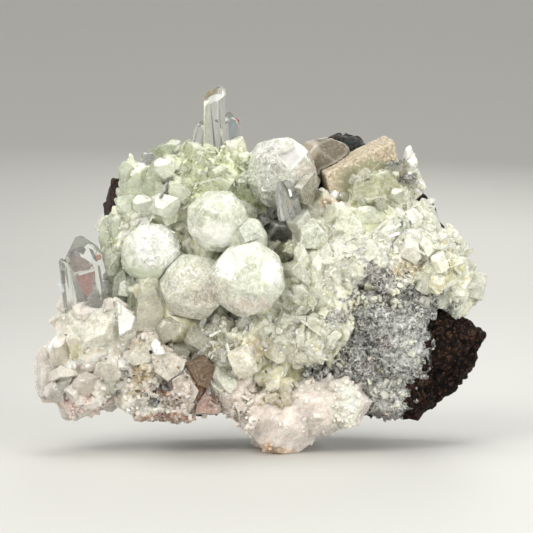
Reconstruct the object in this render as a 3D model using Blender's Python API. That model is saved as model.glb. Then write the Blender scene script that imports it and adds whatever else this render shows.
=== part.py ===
# Analcime with prehnite: rounded analcimes and clear quartz on a pale green crust,
# over brown basalt, standing on a narrow fibrous foot.
# Metres, +Z up. The front faces -Y. The origin is on the ground, in the middle of the
# whole specimen's box.

import math
import random

import bmesh
import bpy
from mathutils import Euler, Matrix, Vector

# The tables below are in millimetres and degrees, and MM turns them into metres.
MM = 0.001
GAP = 0.3            # clearance between two pieces that touch
WELD = 0.002         # corners nearer than this are one corner
CUT_SLACK = 0.0001   # how near a corner may lie to a cutting plane

# Analcime: centre, radius of the sphere inside the 24 kite faces, turn.
TRIO_CRYSTALS = [
    ((-2.9, -15.0, 35.7), 6.9, (18, 8, 24)),
    ((-8.9, -10.2, 46.9), 5.8, (-12, 25, 10)),
    ((-13.8, -12.0, 33.8), 6.2, (30, -14, 40)),
    ((-3.4, -10.6, 43.2), 4.2, (5, 33, 15)),
]
TOP_CRYSTAL = [((3.8, -1.0, 56.3), 6.7, (24, 12, -22))]
LEFT_CRYSTALS = [
    ((-22.4, -9.0, 40.4), 5.6, (15, -20, 12)),
    ((-17.6, -7.6, 37.4), 3.2, (40, 10, 5)),
]

# Quartz: foot of the prism, length, width, turn, then how far each of the six
# end faces stands in from the tip as a share of the width.
SHARP_END = (0.0, 0.12, 0.05, 0.0, 0.16, 0.08)
RIGHT_HIGH_END = (-0.10, 0.10, 0.35, 0.45, 0.25, -0.15)
LEFT_HIGH_END = (0.35, 0.25, -0.10, -0.15, 0.10, 0.45)
LEFT_PAIR = [
    ((-33.2, -7.0, 27.0), 18.6, 8.0, (4, -15, 22), SHARP_END),
    ((-38.4, -8.6, 27.0), 13.4, 3.3, (6, -6, 8), LEFT_HIGH_END),
]
TOP_CLUSTER = [
    ((-10.1, 3.6, 55.0), 20.0, 4.8, (0, 1, 12), RIGHT_HIGH_END),
    ((-6.8, 5.8, 55.0), 14.4, 4.6, (-3, 2, 38), SHARP_END),
    ((-14.9, 4.6, 54.6), 13.2, 2.9, (0, 13, 20), SHARP_END),
]
CENTRE_POINT = [((7.7, -4.6, 42.6), 14.2, 3.9, (16, -18, 10), SHARP_END)]
UPPER_LEFT_POINTS = [
    ((-13.4, 1.4, 57.2), 10.2, 2.8, (0, -66, 24), SHARP_END),
    ((-18.6, 0.4, 55.8), 6.2, 2.4, (0, -40, 24), SHARP_END),
]

# Calcite: centre, edge lengths, turn. The lean makes a rhomb of the block.
RHOMB_BLOCK = ((20.4, 3.6, 54.6), (15.6, 9.6, 10.6), (6, -26, 6))
RHOMB_LEAN = 0.22
KNOB_LUMPS = [((12.4, 8.0, 58.0), (6.0, 4.4, 5.2), 22, 11)]

# Lumps: centre, half widths, number of faces, seed. A lump that reaches below
# the ground is cut flat there. The keel runs back under the rock from the foot,
# and the bed lies behind the analcimes.
PINK_LUMPS = [
    ((-33.6, -7.0, 24.0), (8.0, 7.4, 8.6), 20, 21),
    ((-40.2, -7.4, 18.0), (4.5, 5.4, 6.2), 15, 22),
    ((-36.0, -7.0, 13.2), (7.0, 6.4, 5.0), 17, 23),
    ((-37.4, -7.2, 26.8), (2.9, 4.4, 4.4), 14, 24),
    ((-29.4, -7.6, 16.4), (4.2, 6.0, 5.6), 15, 25),
    ((-41.8, -7.2, 15.0), (3.0, 4.0, 3.7), 13, 26),
]
PINK_POINTS = [
    ((-27.0, -8.4, 19.0), 13.6, 6.6, (10, -8, 30), LEFT_HIGH_END),
    ((-40.6, -8.4, 12.4), 11.4, 4.6, (14, -14, 10), RIGHT_HIGH_END),
    ((-33.0, -10.6, 12.0), 9.0, 5.2, (28, 10, 40), SHARP_END),
    ((-36.4, -11.0, 21.0), 9.0, 5.6, (34, -22, 15), LEFT_HIGH_END),
]
SPECKLED_LUMPS = [
    ((-22.4, -8.6, 17.2), (6.2, 6.4, 5.6), 17, 31),
    ((-25.2, -9.4, 12.6), (4.6, 5.6, 4.6), 15, 32),
    ((-16.6, -8.8, 14.4), (5.6, 6.0, 6.4), 16, 33),
    ((-17.2, -7.4, 9.6), (4.4, 5.0, 3.0), 14, 34),
    ((-22.6, -9.4, 9.8), (4.0, 4.6, 3.0), 14, 35),
    ((-23.6, -10.4, 21.6), (4.4, 3.6, 2.6), 12, 36),
    ((-10.8, -5.6, 10.8), (4.2, 4.6, 3.0), 13, 37),
]
FOOT_LUMPS = [
    ((4.0, -6.4, 5.2), (6.8, 7.6, 6.6), 20, 41),
    ((10.2, -6.6, 9.2), (7.4, 6.6, 6.2), 20, 42),
    ((16.4, -6.4, 9.8), (4.2, 5.6, 5.4), 16, 43),
    ((-2.0, -6.6, 8.4), (4.4, 6.0, 4.6), 16, 44),
    ((-5.4, -6.8, 12.2), (4.2, 5.8, 5.0), 15, 45),
]
KEEL_LUMPS = [
    ((4.2, 2.6, 4.6), (6.4, 9.4, 7.4), 18, 46),
    ((4.6, 11.0, 5.2), (6.8, 6.8, 7.6), 16, 47),
]
DRUSE_LUMPS = [
    ((25.0, -2.4, 22.4), (10.6, 5.4, 15.0), 22, 51),
    ((17.6, -3.6, 17.6), (6.2, 5.4, 8.4), 17, 52),
    ((28.6, -1.6, 31.6), (8.6, 4.6, 6.4), 17, 53),
    ((25.0, -1.8, 11.0), (8.8, 5.6, 4.2), 16, 54),
    ((20.2, -3.4, 28.4), (5.4, 4.4, 5.6), 15, 55),
]
CRUST_LUMPS = [
    # left mound
    ((-28.4, -2.6, 41.4), (4.0, 5.4, 6.2), 13, 101),
    ((-29.0, -3.4, 34.0), (3.4, 5.0, 6.6), 12, 102),
    ((-24.8, -3.2, 47.2), (4.9, 5.2, 4.6), 13, 103),
    ((-19.4, -4.2, 49.4), (4.8, 5.0, 4.0), 15, 104),
    ((-22.6, 0.0, 52.0), (5.4, 5.4, 5.4), 13, 105),
    # under the analcimes
    ((-22.0, -5.6, 31.4), (6.4, 5.6, 6.4), 13, 115),
    ((-18.6, -6.4, 26.6), (6.2, 5.6, 6.0), 12, 116),
    ((-25.4, -4.8, 26.2), (4.8, 5.4, 5.4), 12, 117),
    ((-8.6, -6.4, 16.0), (5.4, 5.2, 5.2), 13, 118),
    ((13.0, -7.4, 26.0), (5.4, 5.2, 5.0), 13, 119),
    ((2.8, -6.0, 16.6), (6.6, 5.0, 5.0), 13, 120),
    ((7.8, -6.2, 30.6), (6.6, 5.8, 5.6), 13, 121),
    # right slope
    ((13.6, -4.6, 37.4), (6.6, 6.0, 6.4), 14, 122),
    ((15.0, -4.8, 31.2), (5.0, 5.0, 4.6), 13, 123),
    ((35.8, 0.4, 38.6), (4.8, 6.0, 5.8), 13, 124),
    ((38.9, 1.0, 33.0), (3.8, 5.6, 5.4), 13, 125),
    ((33.6, -1.4, 34.8), (6.2, 5.4, 4.8), 13, 126),
    ((23.4, -2.4, 51.6), (6.4, 3.6, 4.8), 15, 127),
    ((12.4, 1.0, 47.6), (5.2, 4.4, 5.6), 12, 128),
]
BED_LUMPS = [
    ((-8.6, -1.6, 38.0), (9.4, 5.0, 10.4), 14, 110),
    ((-19.4, -1.4, 40.4), (8.4, 5.4, 9.6), 14, 111),
    ((-14.4, -3.0, 29.6), (9.0, 4.4, 6.4), 13, 112),
    ((-4.8, 0.4, 49.6), (5.6, 4.8, 5.8), 13, 113),
    ((4.0, 3.4, 41.0), (7.4, 4.4, 5.4), 12, 114),
]
ROSETTE_LUMPS = [
    # green top
    ((-15.8, 0.4, 55.6), (5.6, 5.6, 5.2), 14, 141),
    ((-11.4, -0.4, 55.2), (5.8, 6.0, 5.8), 14, 142),
    ((-6.6, 1.2, 56.0), (4.8, 5.4, 4.8), 13, 143),
    ((-14.6, -2.6, 49.4), (5.6, 5.4, 5.6), 13, 144),
    # cream rosettes below the analcimes
    ((-9.8, -7.0, 25.0), (6.0, 5.4, 6.0), 13, 145),
    ((-5.6, -8.4, 20.8), (6.4, 5.6, 5.8), 13, 146),
    ((0.2, -8.6, 24.6), (6.0, 5.6, 5.0), 13, 147),
    ((7.8, -9.4, 23.4), (7.2, 5.8, 5.2), 14, 148),
    # blades of the right slope
    ((20.0, -3.4, 40.6), (7.0, 6.4, 6.4), 14, 149),
    ((26.2, -1.8, 43.0), (6.4, 6.2, 6.8), 14, 150),
    ((25.4, -3.0, 36.6), (6.6, 5.6, 5.0), 13, 151),
    ((31.0, -0.4, 43.8), (4.2, 6.0, 6.2), 13, 152),
    ((27.0, 2.0, 50.0), (3.8, 4.8, 5.2), 13, 153),
    ((30.2, 2.6, 54.2), (1.9, 3.0, 2.6), 11, 154),
]

# Blocks of the crust: centre, size, turn.
CRUST_BLOCKS = [
    ((-25.4, -1.6, 53.2), (4.4, 5.2, 9.4), (4, 8, 16)),
    ((-21.8, -2.6, 53.2), (4.8, 5.0, 9.6), (0, 24, 10)),
    ((-19.0, -3.4, 57.4), (3.8, 4.2, 4.0), (20, 32, 30)),
    ((-25.0, -4.6, 45.6), (6.6, 5.6, 5.6), (24, 16, 34)),
    ((10.0, -4.4, 43.6), (6.8, 6.8, 7.2), (4, 8, -8)),
    ((20.2, -3.6, 46.6), (13.8, 6.4, 6.2), (10, 3, 4)),
    ((30.0, 3.0, 57.0), (1.9, 2.8, 6.4), (0, 8, 12)),
    ((-30.6, -3.8, 44.6), (2.6, 3.4, 3.4), (10, 20, 20)),
]

# Basalt: centre, size, turn, number of chips, seed.
BASALT_CHUNKS = [
    ((6.0, 10.0, 32.0), (54.0, 15.0, 48.0), (0, -6, 0), 16, 201),
    ((-12.0, 8.0, 33.0), (30.0, 12.0, 39.0), (0, 8, 6), 14, 202),
    ((17.0, 12.0, 35.0), (34.0, 18.0, 44.0), (0, 20, -4), 14, 203),
    ((36.4, 5.4, 20.6), (14.2, 20.0, 15.4), (0, 22, 8), 18, 204),
    ((32.6, 4.0, 14.4), (15.0, 17.0, 11.4), (0, -32, 0), 17, 205),
    ((26.0, 8.0, 15.0), (22.0, 20.0, 16.0), (0, -4, 0), 15, 206),
    ((-29.0, 7.0, 46.0), (7.6, 8.0, 18.0), (0, 8, 8), 8, 207),
    ((17.2, 10.6, 58.6), (9.4, 3.6, 9.6), (0, 6, 0), 9, 208),
    ((34.4, 8.6, 40.2), (9.0, 12.0, 25.0), (0, -34, 0), 13, 209),
    ((-31.0, 2.0, 26.0), (12.0, 9.0, 20.0), (0, 0, 10), 13, 210),
]

# Small crystals that stand on the lumps: number per lump, how far out they
# stand as a share of the lump, then the ranges of length, width and depth.
CRUST_BLADES = (2, 0.84, (2.2, 3.8), (1.7, 2.9), (0.8, 1.3))
ROSETTE_BLADES = (4, 0.86, (2.4, 4.2), (1.8, 3.2), (0.7, 1.2))
DRUSE_GRAINS = (7, 0.93, (1.6, 2.6), (1.4, 2.2), (1.2, 1.9))
PINK_STEPS = (2, 0.82, (3.0, 5.0), (2.4, 4.0), (1.2, 2.2))
SPECKLED_STEPS = (2, 0.88, (2.0, 3.4), (1.8, 2.8), (1.2, 2.0))
FOOT_RIBS = (2, 0.84, (4.0, 7.0), (1.6, 2.6), (0.8, 1.4))
BLADE_SEED = 7
BLADE_LEAN = 38          # how far a blade leans off the surface's outward line
FRONT = Vector((0, -1, 0.25)).normalized()
FRONT_LEAST = 0.05       # blades grow where the surface faces the front this much

# How the shapes are cut. Shares are of the distance from the middle to the corner.
QUARTZ_SLOPE = 52        # between a quartz end face and the prism's axis, taken upright
QUARTZ_SPIN = 30.6       # turns the end faces onto the prism's sides
LUMP_REACH = (0.86, 1.0)
CHIP_REACH = (0.66, 0.84)
SPREAD = 0.18            # unevenness of the directions of a lump's or chunk's cuts
BLOCK_CUTS = (Vector((0.75, -0.2, 0.6)), Vector((-0.5, -0.3, 0.8)))
BLOCK_REACH = 0.8
TABLET_CUT = Vector((0.7, 0, 0.7))
TABLET_REACH = 0.72

MATERIALS = {
    "analcime_trio": ((0.83, 0.84, 0.76), 0.30),
    "analcime_top": ((0.78, 0.77, 0.71), 0.28),
    "analcime_left": ((0.84, 0.85, 0.78), 0.45),
    "quartz_left_pair": ((0.72, 0.74, 0.70), 0.05),
    "quartz_top_cluster": ((0.68, 0.70, 0.68), 0.05),
    "quartz_centre": ((0.60, 0.62, 0.56), 0.06),
    "quartz_upper_left": ((0.58, 0.62, 0.55), 0.06),
    "calcite_rhomb": ((0.64, 0.58, 0.44), 0.70),
    "calcite_knob": ((0.52, 0.47, 0.37), 0.60),
    "pink_crystal_cluster": ((0.68, 0.61, 0.53), 0.30),
    "speckled_lumps": ((0.60, 0.56, 0.48), 0.50),
    "fibrous_foot": ((0.63, 0.56, 0.48), 0.40),
    "quartz_druse": ((0.26, 0.25, 0.22), 0.35),
    "prehnite_crust": ((0.66, 0.70, 0.52), 0.35),
    "basalt_matrix": ((0.045, 0.025, 0.016), 0.90),
}


# Shapes, in millimetres

def place(bm, centre, turn):
    angles = Euler([math.radians(angle) for angle in turn])
    matrix = Matrix.Translation(centre) @ angles.to_matrix().to_4x4()
    bmesh.ops.transform(bm, matrix=matrix, verts=bm.verts)


def cut_flat(bm, point, outward):
    """Takes off what lies beyond a plane and closes the cut with one face."""
    everything = bm.verts[:] + bm.edges[:] + bm.faces[:]
    cut = bmesh.ops.bisect_plane(bm, geom=everything, dist=CUT_SLACK, plane_co=point,
                                 plane_no=outward, clear_outer=True)
    rim = [part for part in cut["geom_cut"] if isinstance(part, bmesh.types.BMEdge)]
    bmesh.ops.edgeloop_fill(bm, edges=[edge for edge in rim if edge.is_boundary])


def trapezohedron(centre, radius, turn, grow=0):
    """The 24-faced form of analcime: a cube's 26 grid points pushed out by kind."""
    reach = {1: 1.2247, 2: 1.1547, 3: 1.0607}
    bm = bmesh.new()
    bmesh.ops.create_cube(bm, size=2)
    bmesh.ops.subdivide_edges(bm, edges=bm.edges[:], cuts=1, use_grid_fill=True)
    for vert in bm.verts:
        kind = sum(abs(value) > 0.5 for value in vert.co)
        vert.co = vert.co.normalized() * reach[kind] * (radius + grow)
    place(bm, centre, turn)
    return bm


def quartz(foot, length, width, turn, end_steps, grow=0):
    """A six-sided prism whose end is six sloping faces, some set back."""
    bm = bmesh.new()
    bmesh.ops.create_cone(bm, cap_ends=True, segments=6, radius1=width / 2 + grow,
                          radius2=width / 2 + grow, depth=length + 2 * grow)
    bmesh.ops.translate(bm, verts=bm.verts, vec=(0, 0, length / 2))
    slope = math.radians(QUARTZ_SLOPE)
    for side, step in enumerate(end_steps):
        around = math.radians(60 * side + QUARTZ_SPIN)
        normal = Vector((math.cos(around) * math.sin(slope),
                         math.sin(around) * math.sin(slope), math.cos(slope)))
        tip = Vector((0, 0, length - step * width)) + normal * grow
        cut_flat(bm, tip, normal)
    place(bm, foot, turn)
    return bm


def even_directions(count, chance):
    """Directions spread evenly over a sphere, each a little off its place."""
    golden = math.pi * (3 - math.sqrt(5))
    for index in range(count):
        height = 1 - 2 * (index + 0.5) / count
        around = golden * index + chance.uniform(-SPREAD, SPREAD)
        flat = math.sqrt(1 - height * height)
        direction = Vector((flat * math.cos(around), flat * math.sin(around), height))
        wobble = Vector([chance.uniform(-SPREAD, SPREAD) for _ in range(3)])
        yield (direction + wobble).normalized()


def lump(centre, half_widths, faces, seed, grow=0):
    """A knob with flat faces: a block cut all round by planes about an ellipsoid."""
    chance = random.Random(seed)
    turn = [chance.uniform(0, 360) for _ in range(3)]
    spin = Euler([math.radians(angle) for angle in turn]).to_matrix()
    bm = bmesh.new()
    bmesh.ops.create_cube(bm, size=4 * max(half_widths) + 4 * grow)
    for direction in even_directions(faces, chance):
        normal = spin @ direction
        reach = math.sqrt(sum((a * n) ** 2 for a, n in zip(half_widths, normal)))
        reach = reach * chance.uniform(*LUMP_REACH) + grow
        cut_flat(bm, normal * reach, normal)
    bmesh.ops.translate(bm, verts=bm.verts, vec=centre)
    return bm


def block(centre, size, turn, grow=0):
    """A short crystal block with two slanting faces at its end."""
    bm = bmesh.new()
    bmesh.ops.create_cube(bm, size=1)
    full = [value + 2 * grow for value in size]
    bmesh.ops.scale(bm, vec=full, verts=bm.verts)
    for side in BLOCK_CUTS:
        normal = side.normalized()
        corner = sum(abs(n) * s / 2 for n, s in zip(normal, size))
        cut_flat(bm, normal * (corner * BLOCK_REACH + grow), normal)
    place(bm, centre, turn)
    return bm


def chunk(centre, size, turn, chips, seed, grow=0):
    """Broken rock: a block with its edges and corners knocked off."""
    chance = random.Random(seed)
    bm = bmesh.new()
    bmesh.ops.create_cube(bm, size=1)
    bmesh.ops.scale(bm, vec=[value + 2 * grow for value in size], verts=bm.verts)
    for direction in even_directions(chips, chance):
        stretched = Vector([d / s for d, s in zip(direction, size)]).normalized()
        corner = sum(abs(n) * s / 2 for n, s in zip(stretched, size))
        reach = corner * chance.uniform(*CHIP_REACH) + grow
        cut_flat(bm, stretched * reach, stretched)
    place(bm, centre, turn)
    return bm


def tablet(centre, size, turn, grow=0):
    """A small flat crystal with one corner of its end cut off."""
    bm = bmesh.new()
    bmesh.ops.create_cube(bm, size=1)
    bmesh.ops.scale(bm, vec=[value + 2 * grow for value in size], verts=bm.verts)
    normal = TABLET_CUT.normalized()
    corner = sum(abs(n) * s / 2 for n, s in zip(normal, size))
    cut_flat(bm, normal * (corner * TABLET_REACH + grow), normal)
    place(bm, centre, turn)
    return bm


def rhomb(centre, size, turn, grow=0):
    bm = bmesh.new()
    bmesh.ops.create_cube(bm, size=1)
    bmesh.ops.scale(bm, vec=[value + 2 * grow for value in size], verts=bm.verts)
    for vert in bm.verts:
        vert.co.x += vert.co.z * RHOMB_LEAN
        vert.co.y += vert.co.z * RHOMB_LEAN
    place(bm, centre, turn)
    return bm


def blades_on(lumps, sizes, seed):
    """Small flat crystals standing out of each lump, as blocks of their own."""
    count, stand, lengths, widths, depths = sizes
    chance = random.Random(seed)
    standing = []
    for centre, half_widths, _, _ in lumps:
        for direction in even_directions(count * 2, chance):
            if direction.dot(FRONT) < FRONT_LEAST:
                continue
            foot = Vector([c + a * d * stand
                           for c, a, d in zip(centre, half_widths, direction)])
            lean = [chance.uniform(-BLADE_LEAN, BLADE_LEAN) for _ in range(2)]
            outward = direction.to_track_quat("Z", "Y").to_euler()
            turn = [math.degrees(angle) for angle in outward]
            turn = [turn[0] + lean[0], turn[1] + lean[1], turn[2]]
            size = (chance.uniform(*widths), chance.uniform(*depths),
                    chance.uniform(*lengths))
            standing.append((tablet, foot, size, turn))
    return standing


# Joining and cutting

def as_object(bm, name, collection):
    bmesh.ops.scale(bm, vec=(MM, MM, MM), verts=bm.verts)
    bmesh.ops.recalc_face_normals(bm, faces=bm.faces)
    mesh = bpy.data.meshes.new(name)
    bm.to_mesh(mesh)
    bm.free()
    body = bpy.data.objects.new(name, mesh)
    collection.objects.link(body)
    return body


def new_collection(name):
    collection = bpy.data.collections.new(name)
    bpy.context.scene.collection.children.link(collection)
    return collection


def boolean(body, operation, others):
    if not others.objects:
        return
    modifier = body.modifiers.new(operation.title(), "BOOLEAN")
    modifier.operation = operation
    modifier.operand_type = "COLLECTION"
    modifier.collection = others
    modifier.solver = "EXACT"


def bounds(bm):
    low = [min(vert.co[axis] for vert in bm.verts) for axis in range(3)]
    high = [max(vert.co[axis] for vert in bm.verts) for axis in range(3)]
    return low, high


def meets(first, second):
    return all(a <= d and c <= b for a, b, c, d in
               zip(first[0], first[1], second[0], second[1]))


def signed_volume(faces):
    corners = [[vert.co for vert in face.verts] for face in faces]
    return sum(ring[0].dot(ring[index].cross(ring[index + 1])) / 6
               for ring in corners for index in range(1, len(ring) - 1))


def keep_largest(bm):
    """Drops crumbs that the cutting left beside the main body."""
    seen = set()
    bodies = []
    for start in bm.faces:
        if start in seen:
            continue
        seen.add(start)
        body = []
        waiting = [start]
        while waiting:
            face = waiting.pop()
            body.append(face)
            for edge in face.edges:
                for other in edge.link_faces:
                    if other not in seen:
                        seen.add(other)
                        waiting.append(other)
        bodies.append(body)
    bodies.sort(key=signed_volume)
    crumbs = [face for body in bodies[:-1] for face in body]
    bmesh.ops.delete(bm, geom=crumbs, context="FACES")


def grown_together(name, pieces, earlier, ground=False):
    """Joins the pieces in one body and takes out what stands in it already."""
    made = [shape(*sizes) for shape, *sizes in pieces]
    boxes = [bounds(bm) for bm in made]
    whole = ([min(box[0][axis] for box in boxes) for axis in range(3)],
             [max(box[1][axis] for box in boxes) for axis in range(3)])
    joined = new_collection(name + "_pieces")
    body = as_object(made[0], name, bpy.context.scene.collection)
    for index, bm in enumerate(made[1:]):
        as_object(bm, f"{name}_piece_{index}", joined)
    pockets = new_collection(name + "_pockets")
    for shape, *sizes in earlier:
        grown = shape(*sizes, grow=GAP)
        if meets(bounds(grown), whole):
            as_object(grown, name + "_pocket", pockets)
        else:
            grown.free()
    boolean(body, "UNION", joined)
    boolean(body, "DIFFERENCE", pockets)
    depsgraph = bpy.context.evaluated_depsgraph_get()
    mesh = bpy.data.meshes.new_from_object(body.evaluated_get(depsgraph))
    for collection in (joined, pockets):
        for other in list(collection.objects):
            bpy.data.objects.remove(other)
        bpy.data.collections.remove(collection)
    bpy.data.objects.remove(body)
    return finish_mesh(name, mesh, ground)


def finish_mesh(name, mesh, ground):
    bm = bmesh.new()
    bm.from_mesh(mesh)
    bmesh.ops.scale(bm, vec=(1 / MM, 1 / MM, 1 / MM), verts=bm.verts)
    bmesh.ops.remove_doubles(bm, verts=bm.verts, dist=WELD)
    bmesh.ops.dissolve_degenerate(bm, edges=bm.edges, dist=WELD)
    if ground:
        cut_flat(bm, Vector((0, 0, 0)), Vector((0, 0, -1)))
    keep_largest(bm)
    bmesh.ops.triangulate(bm, faces=bm.faces)
    bmesh.ops.scale(bm, vec=(MM, MM, MM), verts=bm.verts)
    bm.to_mesh(mesh)
    bm.free()
    mesh.name = name
    return mesh


def material(name):
    colour, roughness = MATERIALS[name]
    made = bpy.data.materials.new(name)
    made.use_nodes = True
    shader = made.node_tree.nodes["Principled BSDF"]
    shader.inputs["Base Color"].default_value = (*colour, 1)
    shader.inputs["Roughness"].default_value = roughness
    shader.inputs["Metallic"].default_value = 0
    return made


# The specimen's pieces, front to back: a later one gives way to an earlier one

def specimen_pieces():
    pink = [(lump, *row) for row in PINK_LUMPS]
    pink += [(quartz, *row) for row in PINK_POINTS]
    pink += blades_on(PINK_LUMPS, PINK_STEPS, BLADE_SEED)
    speckled = [(lump, *row) for row in SPECKLED_LUMPS]
    speckled += blades_on(SPECKLED_LUMPS, SPECKLED_STEPS, BLADE_SEED + 1)
    foot = [(lump, *row) for row in FOOT_LUMPS + KEEL_LUMPS]
    foot += blades_on(FOOT_LUMPS[1:], FOOT_RIBS, BLADE_SEED + 2)
    druse = [(lump, *row) for row in DRUSE_LUMPS]
    druse += blades_on(DRUSE_LUMPS, DRUSE_GRAINS, BLADE_SEED + 3)
    crust = [(lump, *row) for row in CRUST_LUMPS + BED_LUMPS + ROSETTE_LUMPS]
    crust += [(block, *row) for row in CRUST_BLOCKS]
    crust += blades_on(CRUST_LUMPS, CRUST_BLADES, BLADE_SEED + 4)
    crust += blades_on(ROSETTE_LUMPS, ROSETTE_BLADES, BLADE_SEED + 5)
    return {
        "analcime_trio": [(trapezohedron, *row) for row in TRIO_CRYSTALS],
        "analcime_top": [(trapezohedron, *row) for row in TOP_CRYSTAL],
        "analcime_left": [(trapezohedron, *row) for row in LEFT_CRYSTALS],
        "quartz_left_pair": [(quartz, *row) for row in LEFT_PAIR],
        "quartz_top_cluster": [(quartz, *row) for row in TOP_CLUSTER],
        "quartz_centre": [(quartz, *row) for row in CENTRE_POINT],
        "quartz_upper_left": [(quartz, *row) for row in UPPER_LEFT_POINTS],
        "calcite_rhomb": [(rhomb, *RHOMB_BLOCK)],
        "calcite_knob": [(lump, *row) for row in KNOB_LUMPS],
        "pink_crystal_cluster": pink,
        "fibrous_foot": foot,
        "speckled_lumps": speckled,
        "quartz_druse": druse,
        "prehnite_crust": crust,
        "basalt_matrix": [(chunk, *row) for row in BASALT_CHUNKS],
    }


def centre_on_origin(meshes):
    spread = [[vert.co[axis] for mesh in meshes for vert in mesh.vertices]
              for axis in range(2)]
    middle = [(min(values) + max(values)) / 2 for values in spread]
    for mesh in meshes:
        mesh.transform(Matrix.Translation((-middle[0], -middle[1], 0)))


def main():
    for old in list(bpy.data.objects):
        bpy.data.objects.remove(old)
    specimen = new_collection("analcime_with_prehnite")
    earlier = []
    for name, pieces in specimen_pieces().items():
        mesh = grown_together(name, pieces, earlier, ground=(name == "fibrous_foot"))
        mesh.materials.clear()
        mesh.materials.append(material(name))
        specimen.objects.link(bpy.data.objects.new(name, mesh))
        earlier += pieces
    centre_on_origin([body.data for body in specimen.objects])


main()
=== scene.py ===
# Analcime with prehnite: the looks of the specimen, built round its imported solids.
# Metres, +Z up, the crystals face -Y. Tables are in millimetres and in picture points.

import math
import random

import bmesh
import bpy
import numpy as np
from mathutils import Matrix, Vector, noise
from mathutils.bvhtree import BVHTree


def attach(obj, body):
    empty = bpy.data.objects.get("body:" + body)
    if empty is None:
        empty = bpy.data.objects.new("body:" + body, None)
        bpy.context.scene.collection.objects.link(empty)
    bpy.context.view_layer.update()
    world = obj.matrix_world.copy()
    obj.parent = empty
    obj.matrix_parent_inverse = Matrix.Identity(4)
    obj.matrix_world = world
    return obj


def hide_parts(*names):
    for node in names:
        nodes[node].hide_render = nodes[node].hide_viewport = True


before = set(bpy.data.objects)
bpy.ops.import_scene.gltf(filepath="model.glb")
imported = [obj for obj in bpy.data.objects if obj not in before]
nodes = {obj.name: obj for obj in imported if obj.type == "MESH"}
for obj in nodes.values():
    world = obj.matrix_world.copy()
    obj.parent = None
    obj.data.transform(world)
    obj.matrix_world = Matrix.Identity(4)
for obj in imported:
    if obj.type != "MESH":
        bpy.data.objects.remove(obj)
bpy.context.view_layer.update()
mm = 0.001
print("frame loaded with", len(nodes), "solids")


# Camera, light and floor

view = {
    "target": (0.0009, -0.012, 0.0379),
    "distance": 0.55,
    "elevation": 3.5,       # degrees above the floor
    "widthSeen": 0.1066,    # metres across the picture at the target
    "pixels": 533,
    "sensor": 36,
}
studio = {
    "key": {"at": (-0.34, -0.46, 0.46), "size": 0.42, "power": 3.0, "colour": (1, 0.98, 0.94)},
    "fill": {"at": (0.46, -0.42, 0.22), "size": 0.40, "power": 2.05, "colour": (1, 1, 0.98)},
    "top": {"at": (0.02, 0.06, 0.62), "size": 0.46, "power": 2.1, "colour": (1, 1, 0.98)},
    "rim": {"at": (0.10, 0.60, 0.30), "size": 0.36, "power": 0.8, "colour": (1, 1, 0.98)},
    "world": (0.50, 0.50, 0.48),
    "floor": (0.58, 0.575, 0.55),
    "sweep": (2.2, 1.6, 1.2),   # half width, distance to the wall, radius of its bend
}

target = Vector(view["target"])
tilt = math.radians(view["elevation"])
eye = target + view["distance"] * Vector((0, -math.cos(tilt), math.sin(tilt)))
ahead = (target - eye).normalized()
across = Vector((1, 0, 0))
upward = across.cross(ahead)
pixelSize = view["widthSeen"] / view["pixels"]
middle = view["pixels"] / 2

lens = bpy.data.cameras.new("camera")
lens.sensor_width = view["sensor"]
lens.lens = view["sensor"] * view["distance"] / view["widthSeen"]
camera = bpy.data.objects.new("camera", lens)
camera.location = eye
camera.rotation_euler = ahead.to_track_quat("-Z", "Y").to_euler()
bpy.context.scene.collection.objects.link(camera)
bpy.context.scene.camera = camera
bpy.context.scene.view_settings.view_transform = "Standard"

for lampName in ("key", "fill", "top", "rim"):
    setting = studio[lampName]
    lamp = bpy.data.lights.new(lampName, "AREA")
    lamp.size = setting["size"]
    lamp.energy = setting["power"]
    lamp.color = setting["colour"]
    stand = bpy.data.objects.new(lampName, lamp)
    stand.location = setting["at"]
    stand.rotation_euler = (target - Vector(setting["at"])).to_track_quat("-Z", "Y").to_euler()
    bpy.context.scene.collection.objects.link(stand)

world = bpy.data.worlds.new("studio")
world.use_nodes = True
world.node_tree.nodes["Background"].inputs["Color"].default_value = (*studio["world"], 1)
bpy.context.scene.world = world


def makeFloor():
    halfWidth, wallAt, bend = studio["sweep"]
    bm = bmesh.new()
    profile = [bm.verts.new((-halfWidth, -wallAt, 0)), bm.verts.new((-halfWidth, wallAt - bend, 0))]
    steps = 16
    for step in range(1, steps + 1):
        angle = math.pi / 2 * step / steps
        profile.append(bm.verts.new((-halfWidth, wallAt - bend + bend * math.sin(angle),
                                     bend - bend * math.cos(angle))))
    profile.append(bm.verts.new((-halfWidth, wallAt, halfWidth)))
    edges = [bm.edges.new(pair) for pair in zip(profile, profile[1:])]
    swept = bmesh.ops.extrude_edge_only(bm, edges=edges)["geom"]
    moved = [part for part in swept if isinstance(part, bmesh.types.BMVert)]
    bmesh.ops.translate(bm, verts=moved, vec=(2 * halfWidth, 0, 0))
    bmesh.ops.recalc_face_normals(bm, faces=bm.faces)
    mesh = bpy.data.meshes.new("floor")
    bm.to_mesh(mesh)
    bm.free()
    for face in mesh.polygons:
        face.use_smooth = True
    floor = bpy.data.objects.new("floor", mesh)
    bpy.context.scene.collection.objects.link(floor)
    paint = bpy.data.materials.new("paleFloor")
    paint.use_nodes = True
    shader = paint.node_tree.nodes["Principled BSDF"]
    shader.inputs["Base Color"].default_value = (*studio["floor"], 1)
    shader.inputs["Roughness"].default_value = 0.6
    mesh.materials.append(paint)


makeFloor()
print("camera, lights and floor ready")


# Where things are: picture points, and the surface of the solids

def toPixels(points):
    rel = points - np.array(eye)
    scale = view["distance"] / (rel @ np.array(ahead)) / pixelSize
    return middle + (rel @ np.array(across)) * scale, middle - (rel @ np.array(upward)) * scale


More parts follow.
